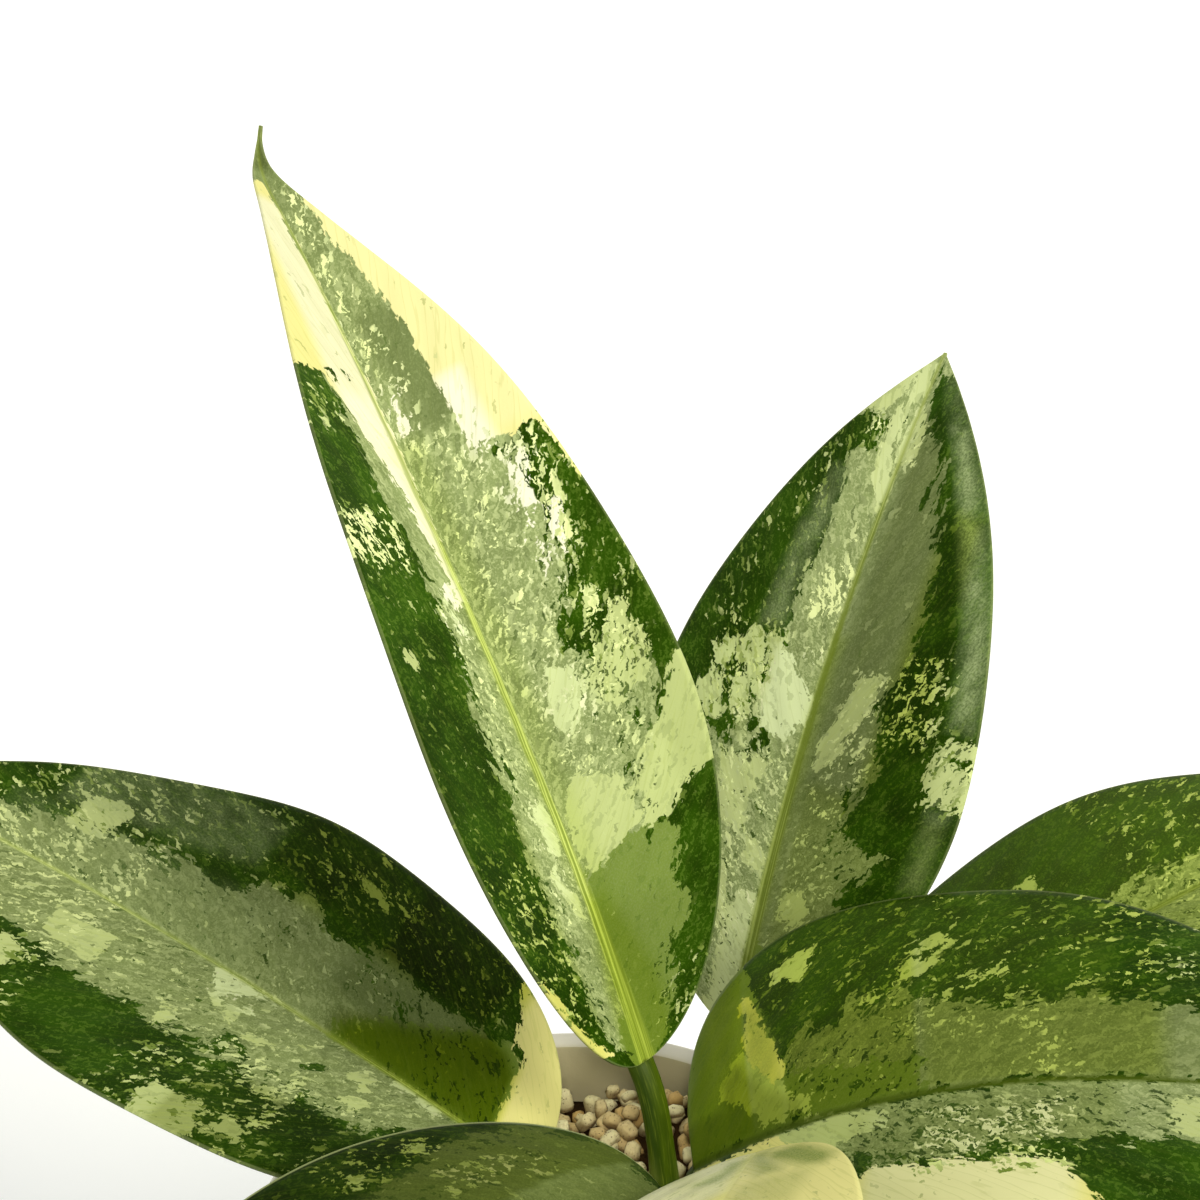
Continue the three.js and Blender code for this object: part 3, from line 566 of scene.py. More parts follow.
# %% Patches of the right leaf
MARKS["leaf_right"] = {
    "silver": [
        [(.14, -14, 0), (.16, -16.5, 0), (.18, -18, 0), (.19, -20, 0), (.2, -14.5, 0), (.215, -15, 0),
         (.225, -23, 0), (.24, -17.4, 0), (.26, -19, 0), (.28, -20.4, 0), (.3, -19, 0), (.32, -17, 0),
         (.35, -15.6, 0), (.4, -15, 0), (.5, -15, 0), (.6, -13, 0), (.8, -8, 0), (.95, -3, 0)],
        [(.12, 0, 20), (.2, 0, 17), (.43, 0, 14), (.6, 0, 13), (.8, 0, 8), (.95, 0, 3)]],
    "green": [[(-.01, -FAR, 0), (.05, -FAR, 0), (.085, -FAR, 0), (.1, -31, 0), (.11, -25, 0),
               (.124, -18.8, 0), (.135, -14.2, 0), (.15, -7, 0), (.2, -4, 0)],
              [(.13, -10, 0), (.2, -9, 0), (.3, -6, 0)]],
    "cream": [
        [(-.01, 1, FAR), (.12, 1.5, FAR), (.2, 12, FAR), (.24, 16, FAR)],
        [(.24, 14, FAR), (.32, 16, FAR), (.42, 17, FAR), (.45, 20, FAR), (.48, 26, FAR),
         (.5, 33, FAR)],
        [(.092, -26.6, -16), (.1, -27.4, -14), (.11, -23, -12), (.122, -17.8, -9.8), (.132, -15.2, -9),
         (.14, -12.8, -9.6)]],
    "pale": [
        [(.135, -30.5, -28.5), (.15, -32, -28.2), (.165, -33.4, -26.8), (.18, -33.6, -29.6)],
        [(.055, -12, -9.4), (.075, -15.4, -7), (.09, -17, -4.4), (.11, -12.6, -2), (.13, -9.6, -1.6),
         (.15, -5.4, -1.6), (.165, -4.4, -2)],
        [(.12, 1, 14), (.22, 1, 7), (.26, 2, 6)],
        [(.29, -29, -27.6), (.31, -30.8, -27.6), (.33, -31.6, -29)],
        [(.286, -25.6, -23), (.3, -27, -22.6), (.318, -28, -25.6)],
        [(.24, -20.4, -18.6), (.255, -20.6, -19)], [(.34, -20, -17.6), (.365, -22, -19.4), (.39, -24, -22)],
        [(.55, 4, 12), (.62, 4, 12)], [(.62, -24, -17), (.68, -23, -16)]],
    "dark": [
        [(.125, -26, -20), (.15, -27, -19.4), (.17, -26, -20), (.19, -31, -22)],
        [(.18, -22, -15), (.195, -24, -17), (.205, -23, -16)], [(.228, 10, 16), (.25, 10.6, 15)]],
    "fleck": [
        (.15, [(.2, -FAR, -17), (.46, -FAR, -16)]), (.1, [(.1, -FAR, -17), (.2, -FAR, -17)]),
        (.3, [(.46, -FAR, -16), (.65, -FAR, -14)]), (.6, [(.3, 4, 18), (.46, 4, 20)]),
        (.35, [(.6, -FAR, FAR), (.85, -FAR, FAR)]), (.3, [(.26, -22, -12), (.44, -18, -8)]),
        (.07, [(.15, -14, -1), (.3, -12, -1)]), (.4, [(.4, -6, 0), (.46, -8, 0)])],
    "mottle": [(.9, [(.31, 5, 20), (.44, 3, 20)]), (.55, [(.22, 2, 18), (.32, 2, 16)]),
               (.4, [(.22, -24, -15), (.46, -22, -13)]), (.25, [(.14, -15, -1), (.3, -15, -1)]),
               (.3, [(.45, 3, 15), (.7, 3, 12)])],
    "white": [(.6, [(.24, 3, FAR), (.46, 3, FAR)]), (1, [(.13, -34, -26), (.19, -34, -26)])],
    "bloom": [(.6, [(.04, -28, -11), (.09, -28, -9), (.11, -24, -9), (.13, -16, -8)])],
    "olive": [(.95, [(-.1, -FAR, 0), (.1, -FAR, 0)]), (.75, [(.09, -FAR, 0), (.14, -FAR, 0)]),
              (.75, [(.13, -FAR, 0), (.3, -FAR, 0)]), (.6, [(.3, -FAR, 0), (.55, -FAR, 0)]),
              (.25, [(-.1, 0, FAR), (.5, 0, FAR)])],
    "shade": [(.3, [(-.1, -FAR, -9), (.08, -FAR, -9)]), (.6, [(-.1, -9, 0), (.07, -8, 0)]),
              (.65, [(.055, -13, 0), (.08, -15, 0), (.12, -8, 0), (.16, -5, 0)]),
              (.25, [(.095, -25, -8), (.14, -25, -8)]), (.4, [(.14, -19, 0), (1.1, -19, 0)]),
              (.15, [(.14, -FAR, -18), (1.1, -FAR, -18)]), (.22, [(.22, 2, 14), (1.1, 2, 14)])],
    "deep": [(.5, [(-.1, -FAR, 0), (1, -FAR, 0)]), (.3, [(.2, 0, FAR), (.5, 0, FAR)])],
    "tint": [(.12, [(.1, -FAR, -14), (.5, -FAR, -14)])],
    "rib": [(0, .9), (.3, .6), (.7, .4), (1, .25)], "rib_tone": 1.0,
}

# %% Patches of the two front leaves and the far leaf
MARKS["leaf_front_left"] = {
    "silver": [[(.01, -12, 10), (.05, -15, 16), (.1, -17, 21.5), (.166, -18, 23.4), (.2, -18, 22.6),
                (.245, -18, 21.3), (.3, -18, 20), (.4, -17, 20), (.6, -14, 16), (.8, -8, 9), (.95, -3, 3)]],
    "pale": [[(.5, -10, -2), (.62, -9, -2)], [(.4, 9, 14), (.5, 6, 11)],
             [(.52, -FAR, -20), (.62, -FAR, -17)], [(.66, 10, 20), (.74, 8, 16)],
             [(.292, 22.4, 24.6), (.302, 22, 26), (.31, 22.4, 23.6)], [(.22, 24, 25.4), (.235, 25.6, 27)]],
    "cream": [[(-.01, 9, FAR), (.03, 14.5, FAR), (.06, 21, FAR), (.1, 27, FAR)]],
    "fleck": [
        (.45, [(.2, 22, FAR), (.33, 22, 31)]), (.5, [(.11, 11, 17), (.225, 14, 19)]),
        (.4, [(.4, -FAR, FAR), (.85, -FAR, FAR)])],
    "mottle": [(.2, [(.1, 12, 22), (.35, 15, 22)]), (.2, [(.45, -15, 15), (.9, -10, 10)])],
    "bloom": [(.32, [(0, 6, 23), (.166, 8, 24), (.245, 6, 22), (.4, -20, 20)]),
              (.16, [(0, -20, 23), (.4, -20, 20)])],
    "deep": [(.95, [(-.1, 6, FAR), (.1, 9, FAR), (.2, 8, FAR), (.26, 4, FAR), (.45, 6, FAR)]),
             (.75, [(-.1, -FAR, FAR), (.45, -FAR, FAR)])],
    "shade": [(1, [(-.1, 6, FAR), (.1, 9, FAR), (.2, 8, FAR), (.26, -4, FAR),
                   (.4, -FAR, FAR), (1.1, -FAR, FAR)]),
              (.8, WHOLE)],
    "white": [(1, [(.05, 8, 28), (.34, 8, 32)])],
    "rib": [(0, 1.4), (.3, .8), (.7, .4), (1, .25)], "edge_show": 0.8,
}
MARKS["leaf_front"] = {
    "silver": [[(.4, -9, 9), (.6, -10, 11), (.8, -6, 7), (.95, -2, 3)]],
    "pale": [[(.02, 3, 8), (.12, 3, 9), (.2, 2, 8), (.4, 0, 8)]],
    "cream": [[(-.01, -FAR, FAR), (.3, -FAR, FAR), (.33, -FAR, 25), (.37, -FAR, 17), (.41, -FAR, 9),
               (.44, -FAR, 4), (.48, -FAR, -3), (.5, -FAR, -8)],
              [(.4, -FAR, -9), (.54, -FAR, -11), (.59, -FAR, -14), (.64, -FAR, -18)]],
    "fleck": [(.45, [(.42, -FAR, FAR), (.9, -FAR, FAR)])],
    "mottle": [(.3, [(.38, -FAR, FAR), (.6, -FAR, FAR)])],
    "tint": [(1, [(.025, -8.6, -3.6), (.05, -13, -4.4), (.065, -15.6, -7), (.08, -16, -10),
                  (.09, -15, -12)]),
             (.8, [(.01, -3, .6), (.04, -4.6, -.6), (.06, -6.4, -2), (.09, -8.4, -4.4)]),
             (.9, [(.02, .4, 4), (.05, .8, 4.4), (.075, 2, 8), (.085, 4, 7)]),
             (.35, [(-.01, 1, FAR), (.14, 1, FAR)]), (.35, [(.1, -14, -2), (.16, -13, -1)])],
    "white": [(.6, [(-.1, 1, FAR), (.1, 1, FAR), (.16, 8, FAR), (.24, 15, FAR)])],
    "rib": [(0, 1.0), (.3, .8), (.7, .4), (1, .25)], "rib_show": 0.12,
}
MARKS["leaf_far_right"] = {
    "silver": [[(.1, -6, 8), (.4, -8, 10), (.7, -6, 8), (.92, -2, 3)]],
    "pale": [[(.37, -20.5, -17), (.39, -20, -16)]],
    "fleck": [(.3, [(.5, -FAR, FAR), (.85, -FAR, FAR)])],
    "mottle": [(.3, [(.1, -8, 9), (.8, -6, 8)])],
    "tint": [(.22, WHOLE)], "olive": [(.6, WHOLE)],
    "rib": [(0, 1.2), (.3, .8), (.7, .4), (1, .25)], "rib_tone": 0.5,
}
PATCH_KINDS = ("silver", "green", "pale", "cream", "dark")
SOFT_KINDS = ("fleck", "mottle", "white", "deep", "tint", "olive", "bloom", "shade")
PLAIN_KINDS = (("rib_show", 0.85), ("rib_tone", 0), ("edge_show", 0.15))
print(sum(len(m.get(k, ())) for m in MARKS.values() for k in PATCH_KINDS + SOFT_KINDS), "patches")

# %% Depth in a patch
SOFT_EDGE = 3
SLANT_STEP = 0.6
OUTSIDE = -30.0


def stations(table, at):
    """Reads a short table of (place, value) pairs at a place between them."""
    places, values = zip(*table)
    return np.interp(at, places, values)


def edge_distance(places, edge, length, s, x):
    """Distance in mm to the right of an edge given by stations, less where the edge runs aslant."""
    step = SLANT_STEP / length
    ahead, behind = np.interp(s + step, places, edge), np.interp(s - step, places, edge)
    return (x - np.interp(s, places, edge)) / np.hypot(1, (ahead - behind) / (2 * SLANT_STEP))


def band_depth(band, length, s, x):
    """How far points lie inside a band along the leaf, in mm, negative outside it."""
    places, left, right = zip(*band)
    inside = np.minimum(edge_distance(places, left, length, s, x),
                        -edge_distance(places, right, length, s, x))
    ends = np.minimum(s - places[0], places[-1] - s) * length
    return np.minimum(inside, ends)


def mark_fields(name, s, x, margin):
    """Every field that a blade's material reads, one value a point."""
    marks, length = MARKS[name], LEAVES[name]["length"]
    fields = {}
    for kind in PATCH_KINDS:
        depth = [band_depth(band, length, s, x) for band in marks.get(kind, ())]
        fields[kind] = np.max(depth, 0) if depth else np.full(len(s), OUTSIDE)
    for kind in SOFT_KINDS:
        share = [amount * np.clip(band_depth(band, length, s, x) / SOFT_EDGE + 0.5, 0, 1)
                 for amount, band in marks.get(kind, ())]
        fields[kind] = np.max(share, 0) if share else np.zeros(len(s))
    for kind, usual in PLAIN_KINDS:
        fields[kind] = np.full(len(s), float(marks.get(kind, usual)))
    shift = stations(marks.get("rib_shift", [(0, 0), (1, 0)]), s)
    fields["rib"] = stations(marks["rib"], s) - abs(x - shift)
    fields["margin"] = margin
    return fields


print(len(PATCH_KINDS + SOFT_KINDS + PLAIN_KINDS) + 2, "fields on each blade")

# %% [markdown]
# ## Leaf materials
# Real marbling is a mosaic: each patch is a family of cells that grew from one, so it is long in the
# direction of the side veins, has torn edges, and breaks into ever smaller specks. A Voronoi texture
# gives such cells, each with a random number. Three sizes of cell move the edges of the painted
# patches, and lighter or darker cells are sprinkled where the fleck and mottle fields say. The
# marbling is a node group, because both faces of a leaf use it. The upper face shows it under a waxy
# gloss, and the underside shows it faintly through a dull pale green.


# %% Leaf colours
def srgb(red, green, blue):
    """A screen colour from 0 to 255 as the linear colour that a shader wants."""
    def linear(c):
        c /= 255
        return c / 12.92 if c <= 0.04045 else ((c + 0.055) / 1.055) ** 2.4
    return (linear(red), linear(green), linear(blue), 1.0)


DEEP_GREEN = srgb(24, 52, 0)
DARK_GREEN = srgb(40, 74, 2)
FLECK_GREEN = srgb(82, 112, 34)
MID_GREEN = srgb(115, 136, 62)
SILVER_DEEP = srgb(104, 118, 72)
SILVER = srgb(136, 151, 98)
SILVER_LIGHT = srgb(184, 196, 142)
PALE_LIME = srgb(190, 202, 140)
CREAM = srgb(228, 222, 150)
WHITE = srgb(234, 233, 212)
RIB_LIME = srgb(136, 152, 66)
RIB_PALE = srgb(206, 219, 130)
RIB_OLIVE = srgb(74, 92, 16)
FLECK_CREAM = srgb(226, 236, 172)
PALE_LIGHT = srgb(212, 224, 176)
# These three colours paint light and shade: a grey-green sheen as a painted highlight, an olive tint that
# is partly the leaf's own and partly painted shade and light through the leaf, and painted shade.
BLOOM = srgb(150, 166, 118)
OLIVE = srgb(214, 226, 60)
SHADE = srgb(146, 152, 104)
VEIN_GREEN = srgb(150, 164, 70)
UNDER_GREEN = srgb(142, 160, 104)
print("darkest green", [round(c, 3) for c in DEEP_GREEN[:3]])

# %% Mosaic of cells
SHARD_CELL = (2.2, 7)
SLIVER_CELL = (0.66, 2.6)
GRAIN_CELL = (0.42, 0.85)
marbling, g, given, out = new_group(
    "Leaf marbling",
    [("Jag", "NodeSocketFloat", 6.0), ("Shard", "NodeSocketFloat", 3.2), ("Grain", "NodeSocketFloat", 2.6)],
    [("Color", "NodeSocketColor"), ("Pale", "NodeSocketFloat")])
vein = g.add("ShaderNodeUVMap", uv_map="vein").outputs["UV"]
place = g.add("ShaderNodeUVMap", uv_map="place").outputs["UV"]
bend = g.add("ShaderNodeTexNoise", {"Vector": vein, "Scale": 0.42, "Detail": 4.0, "Roughness": 0.6})
bend = g.vector_math("MULTIPLY", bend.outputs["Color"], (3.0, 4.6, 0))
bent = g.vector_math("ADD", vein, bend)


def cells(wide, long, shift):
    """Three random numbers for each cell of a mosaic, its cells given in mm across and along."""
    at = g.stretch(bent, (1 / wide, 1 / long, 1), shift)
    node = g.add("ShaderNodeTexVoronoi", {"Vector": at, "Scale": 1.0}, voronoi_dimensions="2D")
    return g.add("ShaderNodeSeparateColor", {0: node.outputs["Color"]}).outputs


shards = cells(*SHARD_CELL, (0, 0, 0))
slivers = cells(*SLIVER_CELL, (31, 7, 0))
grains = cells(*GRAIN_CELL, (5, 83, 0))
print("smallest cells are", GRAIN_CELL[0], "mm across")

# %% Noise and the edges that it moves
EDGE_SOFTNESS = 0.12
coarse = g.noise(g.stretch(vein, (0.15, 0.05, 1)), 1.0, 3.0, 0.55)
tone = g.noise(g.stretch(vein, (0.09, 0.05, 1), (5, 5, 0)), 1.0, 3.0, 0.6)
clump = g.noise(g.stretch(vein, (0.33, 0.13, 1), (50, 9, 0)), 1.0, 2.0, 0.5)
dust = g.noise(g.stretch(vein, (2.6, 1.5, 1), (3, 90, 0)), 1.0, 2.0, 0.6)
waver = g.math("ADD", g.math("MULTIPLY", g.math("SUBTRACT", coarse, 0.5), given["Jag"]),
               g.math("ADD", g.math("MULTIPLY", g.math("SUBTRACT", shards[0], 0.5), given["Shard"]),
                      g.math("MULTIPLY", g.math("SUBTRACT", slivers[0], 0.5), given["Grain"])))


def zone(kind, share):
    """Mask of a kind of patch, with its edge moved by a share of the waver."""
    moved = g.math("ADD", g.attribute(kind), g.math("MULTIPLY", waver, share))
    return g.ramp(moved, -EDGE_SOFTNESS, EDGE_SOFTNESS)


def picked(amount, largest_share, number):
    """Mask of the cells whose random number is below an amount times its largest share."""
    return g.ramp(g.math("SUBTRACT", g.math("MULTIPLY", amount, largest_share), number), -0.02, 0.02)


def sprinkle(amount, channel):
    """Slivers and grains that get more common, and draw together in clumps, as an amount rises."""
    gathered = g.math("MULTIPLY", amount, g.ramp(clump, 0.38, 0.62, 0.1, 1.4, False))
    long_ones = picked(gathered, 0.3, slivers[channel])
    small_ones = picked(gathered, 0.36, grains[channel])
    return g.math("MAXIMUM", long_ones, small_ones)


print("the group has", len(marbling.nodes), "nodes so far")

# %% Tones inside the patches
patchy = g.ramp(tone, 0.36, 0.64)
dark = g.blend(patchy, DEEP_GREEN, DARK_GREEN)
dark = g.blend(g.ramp(dust, 0.54, 0.7, 0, 0.45), dark, FLECK_GREEN)
dark_grains = g.math("SUBTRACT", g.ramp(patchy, 0, 1, 0.06, 0.26), grains[2])
dark = g.blend(g.ramp(dark_grains, -0.05, 0.05, 0, 0.5), dark, FLECK_GREEN)
silver = g.blend(g.ramp(tone, 0.35, 0.65), SILVER, g.blend(0.45, SILVER, SILVER_DEEP))
silver = g.blend(g.ramp(slivers[2], 0.76, 0.86, 0, 0.5), silver, SILVER_LIGHT)
silver = g.blend(g.ramp(grains[2], 0.74, 0.86, 0, 0.55), silver, SILVER_LIGHT)
silver = g.blend(g.ramp(dust, 0.46, 0.7, 0, 0.5), silver, SILVER_LIGHT)
silver = g.blend(g.ramp(slivers[1], 0.22, 0.12, 0, 0.5), silver, SILVER_DEEP)
deep_silver = g.blend(g.ramp(dust, 0.45, 0.7, 0, 0.35), SILVER_DEEP, SILVER)
# A deeper silver tone: partly the leaf's own, and partly painted shade on parts turned from the light.
silver = g.blend(g.math("MULTIPLY", g.attribute("deep"), 0.9), silver, deep_silver)
green = g.blend(g.ramp(dust, 0.4, 0.7, 0, 0.4), MID_GREEN, SILVER)
green = g.blend(g.ramp(slivers[1], 0.3, 0.0, 0, 0.3), green, FLECK_GREEN)
pale = g.blend(g.ramp(dust, 0.4, 0.7, 0, 0.3), PALE_LIME, SILVER_LIGHT)
pale = g.blend(g.attribute("white"), pale, PALE_LIGHT)
pale = g.blend(g.ramp(slivers[1], 0.8, 0.9, 0, 0.35), pale, SILVER)
cream = g.blend(g.attribute("white"), CREAM, WHITE)
print("the tones bring it to", len(marbling.nodes), "nodes")

# %% Lay patches, flecks, midrib and light over each other
silver_zone = zone("silver", 0.8)
color = g.blend(silver_zone, dark, silver)
color = g.blend(zone("green", 0.6), color, green)
pale_zone = zone("pale", 0.5)
color = g.blend(pale_zone, color, pale)
color = g.blend(g.math("MULTIPLY", sprinkle(g.attribute("mottle"), 1), 0.85), color, dark)
cream_zone = zone("cream", 0.4)
color = g.blend(cream_zone, color, cream)
color = g.blend(zone("dark", 0.3), color, dark)
fleck = g.attribute("fleck")
specks = sprinkle(fleck, 0)
brightness = g.math("ADD", g.math("MULTIPLY", slivers[2], 0.5), g.math("MULTIPLY", fleck, 0.62))
speck_dark = g.blend(g.ramp(brightness, 0.35, 0.62), MID_GREEN, PALE_LIME)
speck_dark = g.blend(g.ramp(brightness, 0.6, 0.85), speck_dark, FLECK_CREAM)
speck_light = g.blend(g.attribute("white"), FLECK_CREAM, WHITE)
speck_light = g.blend(g.ramp(brightness, 0.3, 0.8), SILVER_LIGHT, speck_light)
color = g.blend(specks, color, g.blend(silver_zone, speck_dark, speck_light))
tinted = g.math("MULTIPLY", g.attribute("tint"), g.ramp(dust, 0.2, 0.8, 0.6, 1.0))
color = g.blend(tinted, color, MID_GREEN)
lines = g.noise(g.stretch(place, (0.02, 1.9, 1)), 1.0, 3.0, 0.6)
rib_color = g.blend(g.ramp(lines, 0.44, 0.62), RIB_LIME, RIB_PALE)
rib_color = g.blend(g.attribute("rib_tone"), rib_color, RIB_OLIVE)
rib_zone = g.math("MULTIPLY", g.ramp(g.attribute("rib"), -0.6, 0.45), g.attribute("rib_show"))
color = g.blend(rib_zone, color, rib_color)
# Painted sheen: a grey-green highlight laid into the colour in patches, where the leaf's sheen field asks
# for it.
patchy_sheen = g.math("MULTIPLY", g.ramp(dust, 0.3, 0.7, 0.4, 1.0), g.ramp(clump, 0.3, 0.6, 0.45, 1.0))
sheen = g.math("MULTIPLY", g.attribute("bloom"), patchy_sheen)
color = g.blend(sheen, color, BLOOM)
# Olive tint: partly the leaf's own yellow-green near the base and midrib, and partly painted shade and
# painted light shining through the leaf.
color = g.blend(g.attribute("olive"), color, OLIVE, "MULTIPLY")
# Painted shade: lower leaves, halves turned from the sun and parts in other leaves' shadow are darkened.
color = g.blend(g.attribute("shade"), color, SHADE, "MULTIPLY")
g.give(out["Color"], color)
g.give(out["Pale"], g.math("MAXIMUM", g.math("MAXIMUM", pale_zone, cream_zone), specks))
print("marbling group has", len(marbling.nodes), "nodes")

# %% Fine parallel veins
VEIN_PERIOD = 1.7
vein_lines, g, given, out = new_group(
    "Fine veins", [("Period", "NodeSocketFloat", VEIN_PERIOD)],
    [("Height", "NodeSocketFloat"), ("Line", "NodeSocketFloat")])
vein = g.add("ShaderNodeUVMap", uv_map="vein").outputs["UV"]
across = g.add("ShaderNodeSeparateXYZ", {0: vein}).outputs["X"]
wobble = g.noise(g.stretch(vein, (0.5, 0.04, 1)), 1.0)
turn = g.math("ADD", g.math("DIVIDE", across, given["Period"]), g.math("MULTIPLY", wobble, 3.0))
wave = g.math("SINE", g.math("MULTIPLY", turn, 2 * math.pi))
pores = g.noise(g.stretch(vein, (2.2, 1.6, 1)), 1.0, 2.0)
g.give(out["Height"], g.math("ADD", g.math("MULTIPLY", wave, 0.2), pores))
g.give(out["Line"], g.ramp(wave, 0.75, 1.0))
print("veins lie", VEIN_PERIOD, "mm apart")

# %% Upper face and underside
leaf_upper, g, shader = new_material("leaf_upper", 0.42, Specular_IOR_Level=0.1,
                                     Specular_Tint=(0.9, 1.0, 0.25, 1))
marks = g.add("ShaderNodeGroup", node_tree=marbling)
veins = g.add("ShaderNodeGroup", node_tree=vein_lines)
line_show = g.math("MULTIPLY", veins.outputs["Line"], g.ramp(marks.outputs["Pale"], 0, 1, 0.03, 0.17))
lined = g.blend(line_show, marks.outputs["Color"], VEIN_GREEN)
edge = g.math("SUBTRACT", 1.0, g.ramp(g.attribute("margin"), 0.15, 0.5))
edge = g.math("MULTIPLY", edge, g.attribute("edge_show"))
g.give(shader.inputs["Base Color"], g.blend(edge, lined, PALE_LIME))
g.give(shader.inputs["Roughness"], g.ramp(veins.outputs["Height"], 0.2, 0.9, 0.34, 0.5, False))
g.bump(shader, veins.outputs["Height"], 0.18, 0.0001)

leaf_under, g, shader = new_material("leaf_under", 0.55, Specular_IOR_Level=0.1)
marks = g.add("ShaderNodeGroup", node_tree=marbling)
veins = g.add("ShaderNodeGroup", node_tree=vein_lines)
g.give(shader.inputs["Base Color"], g.blend(0.5, marks.outputs["Color"], UNDER_GREEN))
g.bump(shader, veins.outputs["Height"], 0.25, 0.0001)
print("leaf materials:", leaf_upper.name, leaf_under.name)

# %% [markdown]
# ## Blades
# A blade is a thin sheet, so it starts as a flat grid whose points are moved onto the leaf's shape,
# and a Solidify modifier gives it its thickness. Two dozen rows would do for the outline, but the
# finer grid carries the marbling's fields, the groove of the midrib and the low swells between the
# side veins. Two UV maps lie on it in millimetres: "vein" runs across and along the side veins, and
# "place" along and across the blade. Each half leaf has its own part of them, so no two are alike.

# %% Side veins
VEIN_ANGLES = [(0, 50), (0.25, 38), (0.5, 24), (1, 10)]
VEIN_CROWDING = [(0, 1.7), (0.4, 1.4), (0.7, 1.0), (1, 0.8)]
VEIN_STEPS = 200


def vein_place(length, s, x):
    """Distances across and along the side veins, which leave the midrib less aslant near the tip.
    The distance along is stretched near the base, where the mosaic's cells are shorter."""
    steps = np.linspace(0, 1, VEIN_STEPS + 1)
    slopes = np.tan(np.radians(stations(VEIN_ANGLES, steps)))
    crowding = stations(VEIN_CROWDING, steps)
    runs = np.cumsum(slopes) * length / VEIN_STEPS
    rises = np.cumsum(crowding) * length / VEIN_STEPS
    angle = np.radians(stations(VEIN_ANGLES, s))
    out = abs(x) * np.sin(angle) * stations(VEIN_CROWDING, s)
    return np.interp(s, steps, runs) - abs(x), np.interp(s, steps, rises) * np.cos(angle) + out


print("side veins leave the midrib at", VEIN_ANGLES[0][1], "to", VEIN_ANGLES[-1][1], "degrees")

# %% Shape of a blade
RIB_ROUND = 1.4
RIB_FILL = 0.5
GROOVE_WIDTH = 1.1
SWELL = 0.14
SWELL_PERIOD = 6.5
SWELL_START = 5


def blade_points(leaf, rows, s, t):
    """Points of the blade's middle sheet at places s along it and t across it, and x across in mm."""
    side = np.where(t < 0, -1.0, 1.0)
    share = abs(t)
    place, along, right, normal = along_midrib(rows, s)
    reach = half_width(leaf, s, side)
    x = side * share * reach
    start = np.radians(lerp(leaf["fold"], s))
    bend = math.radians(leaf["curl"])
    end = start - bend * share
    phase = np.radians(np.where(side < 0, *leaf["phase"]))
    calm = np.sqrt(np.sin(np.pi * np.clip(s, 0, 1)))
    ripple = leaf["wave"] * np.sin(2 * np.pi * leaf["waves"] * s + phase) * share ** 2 * calm
    outward = (np.sin(start) - np.sin(end)) / bend * reach
    up = (np.cos(end) - np.cos(start)) / bend * reach + ripple
    rounding = RIB_ROUND * np.sin(start)
    up += rounding * np.exp(-(x / RIB_ROUND) ** 2) * RIB_FILL
    swell = np.cos(2 * np.pi * vein_place(leaf["length"], s, x)[0] / SWELL_PERIOD)
    level = -SWELL * swell * calm * np.clip(abs(x) / SWELL_START, 0, 1) * (1 - share ** 4)
    level -= leaf["groove"] * np.exp(-(x / GROOVE_WIDTH) ** 2) * (1 - s)
    outward -= level * np.sin(end) * (share > 0)
    up += level * np.cos(end)
    points = place + right * (side * outward)[:, None] + normal * up[:, None]
    return points, x, reach * (1 - share)


print("swells stand", SWELL, "mm high,", SWELL_PERIOD, "mm apart")

# %% Blades
ROWS = 150
COLUMNS = 56
EVEN_SHARE = 0.4
BLADE_THICK = 0.55
LEAF_APART = 1000
SIDE_APART = 400


def make_blade(name, order):
    """A blade with its marbling fields. Its rows lie closer together near the base and the tip."""
    leaf = LEAVES[name]
    bm = bmesh.new()
    bmesh.ops.create_grid(bm, x_segments=COLUMNS, y_segments=ROWS, size=1)
    t = np.array([v.co.x for v in bm.verts])
    u = np.array([(v.co.y + 1) / 2 for v in bm.verts])
    s = EVEN_SHARE * u + (1 - EVEN_SHARE) * (1 - np.cos(np.pi * u)) / 2
    points, x, margin = blade_points(leaf, midrib(leaf), s, t)
    for vert, point in zip(bm.verts, points):
        vert.co = Vector(point) * MM
    vein_map = bm.loops.layers.uv.new("vein")
    place_map = bm.loops.layers.uv.new("place")
    bm.verts.index_update()
    across, along = vein_place(leaf["length"], s, x)
    for face in bm.faces:
        apart = LEAF_APART * order + SIDE_APART * (t[[v.index for v in face.verts]].mean() < 0)
        for loop in face.loops:
            at = loop.vert.index
            loop[vein_map].uv = (across[at] + apart, along[at])
            loop[place_map].uv = (s[at] * leaf["length"] + apart, x[at])
    blade = finish_piece(name.replace("leaf", "blade"), bm, [leaf_upper, leaf_under], "leaf", name)
    for kind, values in mark_fields(name, s, x, margin).items():
        field = blade.data.attributes.new(kind, "FLOAT", "POINT")
        field.data.foreach_set("value", values.astype(np.float32))
    thick = blade.modifiers.new("thickness", "SOLIDIFY")
    thick.thickness = BLADE_THICK * MM
    thick.offset = 0
    thick.material_offset = 1
    thick.material_offset_rim = 0
    return blade


for order, name in enumerate(LEAVES):
    made = make_blade(name, order)
    print(made.name, len(made.data.polygons), "faces before thickness")

# %% [markdown]
# ## Stalks
# Each stalk clasps the stem as a broad sheath, narrows to a round stalk, and runs out under the
# blade as its keel. It is one tube: a grid rolled up round a path, with its seam merged and both
# ends closed. A curve with a round bevel would be quicker, but it can't turn into a wide sheath.

